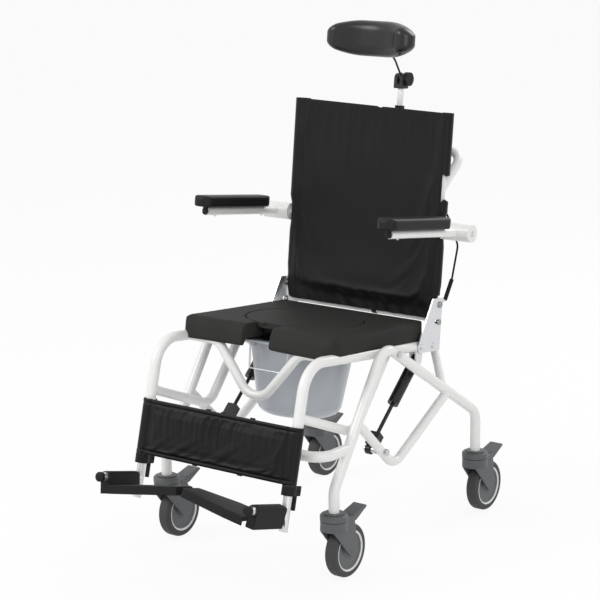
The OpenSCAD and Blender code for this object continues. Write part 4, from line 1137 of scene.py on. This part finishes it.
@dataclass
class Studio:
    """Camera, lamps, floor and world."""

    focal_px: float = 2057.22
    frame_px: float = 600.0
    azimuth: float = math.radians(36.449)
    elevation: float = math.radians(12.496)
    roll: float = math.radians(-0.205)
    distance: float = 4.842
    target: Sequence[float] = (-0.001656, -0.009223, 0.582706)
    sensor: float = 36.0
    lamp_aim: Sequence[float] = (0, 0, 0.6)
    floor_glow: float = 0.9
    surround: Pair = (0.62, 1.0)

    def shoot(self) -> None:
        """Sets up everything that isn't the chair."""
        self.camera()
        self.floor()
        self.world()
        self.lamp("key_lamp", (-2.2, -3.0, 3.4), size=2.4, watts=95)
        self.lamp("fill_lamp", (3.2, -2.2, 2.2), size=2.6, watts=45)
        self.lamp("rim_lamp", (0.6, 3.2, 3.0), size=2.0, watts=50)
        bpy.context.scene.view_settings.view_transform = "Standard"

    def camera(self) -> None:
        """Places the camera of the photograph."""
        a, e = self.azimuth, self.elevation
        back = Vector((math.sin(a) * math.cos(e), -math.cos(a) * math.cos(e), math.sin(e)))
        right = Vector((math.cos(a), math.sin(a), 0))
        up = back.cross(right)
        c, s = math.cos(self.roll), math.sin(self.roll)
        right, up = c * right + s * up, c * up - s * right
        data = bpy.data.cameras.new("photo_camera")
        data.sensor_fit, data.sensor_width, data.sensor_height = "AUTO", self.sensor, self.sensor
        data.lens = self.sensor * self.focal_px / self.frame_px
        obj = Workshop.link("photo_camera", data)
        spot = Vector(self.target) + back * self.distance
        obj.matrix_world = Matrix.Translation(spot) @ Matrix((right, up, back)).transposed().to_4x4()
        bpy.context.scene.camera = obj

    def floor(self) -> None:
        """Pale floor that shows white to the camera and keeps a soft shadow."""
        obj = Workshop.primitive(bpy.ops.mesh.primitive_plane_add, "studio_floor", size=60)
        shader = Shader("studio_floor")
        shader.set(Base_Color=(0.86, 0.86, 0.86, 1), Roughness=0.9)
        glow = shader.node("ShaderNodeEmission", {}, {"Color": (1, 1, 1, 1), "Strength": 1.0})
        share = shader.shown() * self.floor_glow
        shader.show(shader.node("ShaderNodeMixShader", {}, {0: share, 1: shader.surface, 2: glow}))
        obj.data.materials.append(shader.material)

    def world(self) -> None:
        """White surround for the camera and for reflections, softer as light."""
        world = bpy.data.worlds.new("studio_world")
        bpy.context.scene.world = world
        world.use_nodes = True
        kit = NodeKit(world.node_tree)
        low, high = self.surround
        power = kit.node("ShaderNodeMapRange", {}, {"Value": kit.shown(), "To Min": low, "To Max": high})
        back = kit.node("ShaderNodeBackground", {}, {"Color": (1, 1, 1, 1), "Strength": power})
        kit.node("ShaderNodeOutputWorld", {}, {"Surface": back}, None)

    def lamp(self, name: str, spot: Sequence[float], size: float, watts: float) -> None:
        """Adds a soft square lamp aimed at the chair."""
        data = bpy.data.lights.new(name, "AREA")
        data.energy, data.size = watts, size
        obj = Workshop.link(name, data)
        aim = (Vector(self.lamp_aim) - Vector(spot)).to_track_quat("-Z", "Y").to_matrix().to_4x4()
        obj.matrix_world = Matrix.Translation(spot) @ aim


def main() -> None:
    """Builds the chair's dress and the studio in order."""
    logging.basicConfig(level=logging.INFO)
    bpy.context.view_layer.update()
    Studio().shoot()
    cables = [Cable(side).dress() for side in Side]
    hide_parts("cables")
    Solids().paint()
    Upholstery().dress()
    SeatCushion("seat_pad", "seat_cushion", "seat", voxel=0.0027, rounds=5).dress()
    LidCushion("seat_lid", "lid_cushion", "lid", voxel=0.0020, rounds=3).dress()
    for hand in "lr":
        names = f"arm_pad_{hand}", f"arm_cushion_{hand}", f"arm_{hand}"
        Foam(*names, voxel=0.0018, rounds=26, paint=ARM_FOAM).dress()
    HeadCushion("head_pad", "head_cushion", "headrest", voxel=0.0020, rounds=14, paint=LEATHER).dress()
    Plugs().dress()
    for corner in ("fl", "fr", "rl", "rr"):
        Moulding(f"fork_{corner}", f"castor_{corner}").dress()
        Moulding(f"pedal_{corner}", f"brake_{corner}").dress()
    black = {"slot": "plastic", "paint": BLACK}
    Moulding("foot_clamps", "seat", rounds=6, **black).dress()
    for hand in "lr":
        Moulding(f"clamp_lever_{hand}", f"clamp_{hand}", voxel=0.0010, rounds=6, **black).dress()
        Moulding(f"footplate_{hand}", f"plate_{hand}", voxel=0.0013, rounds=5, **black).dress()


if __name__ == "__main__":
    main()
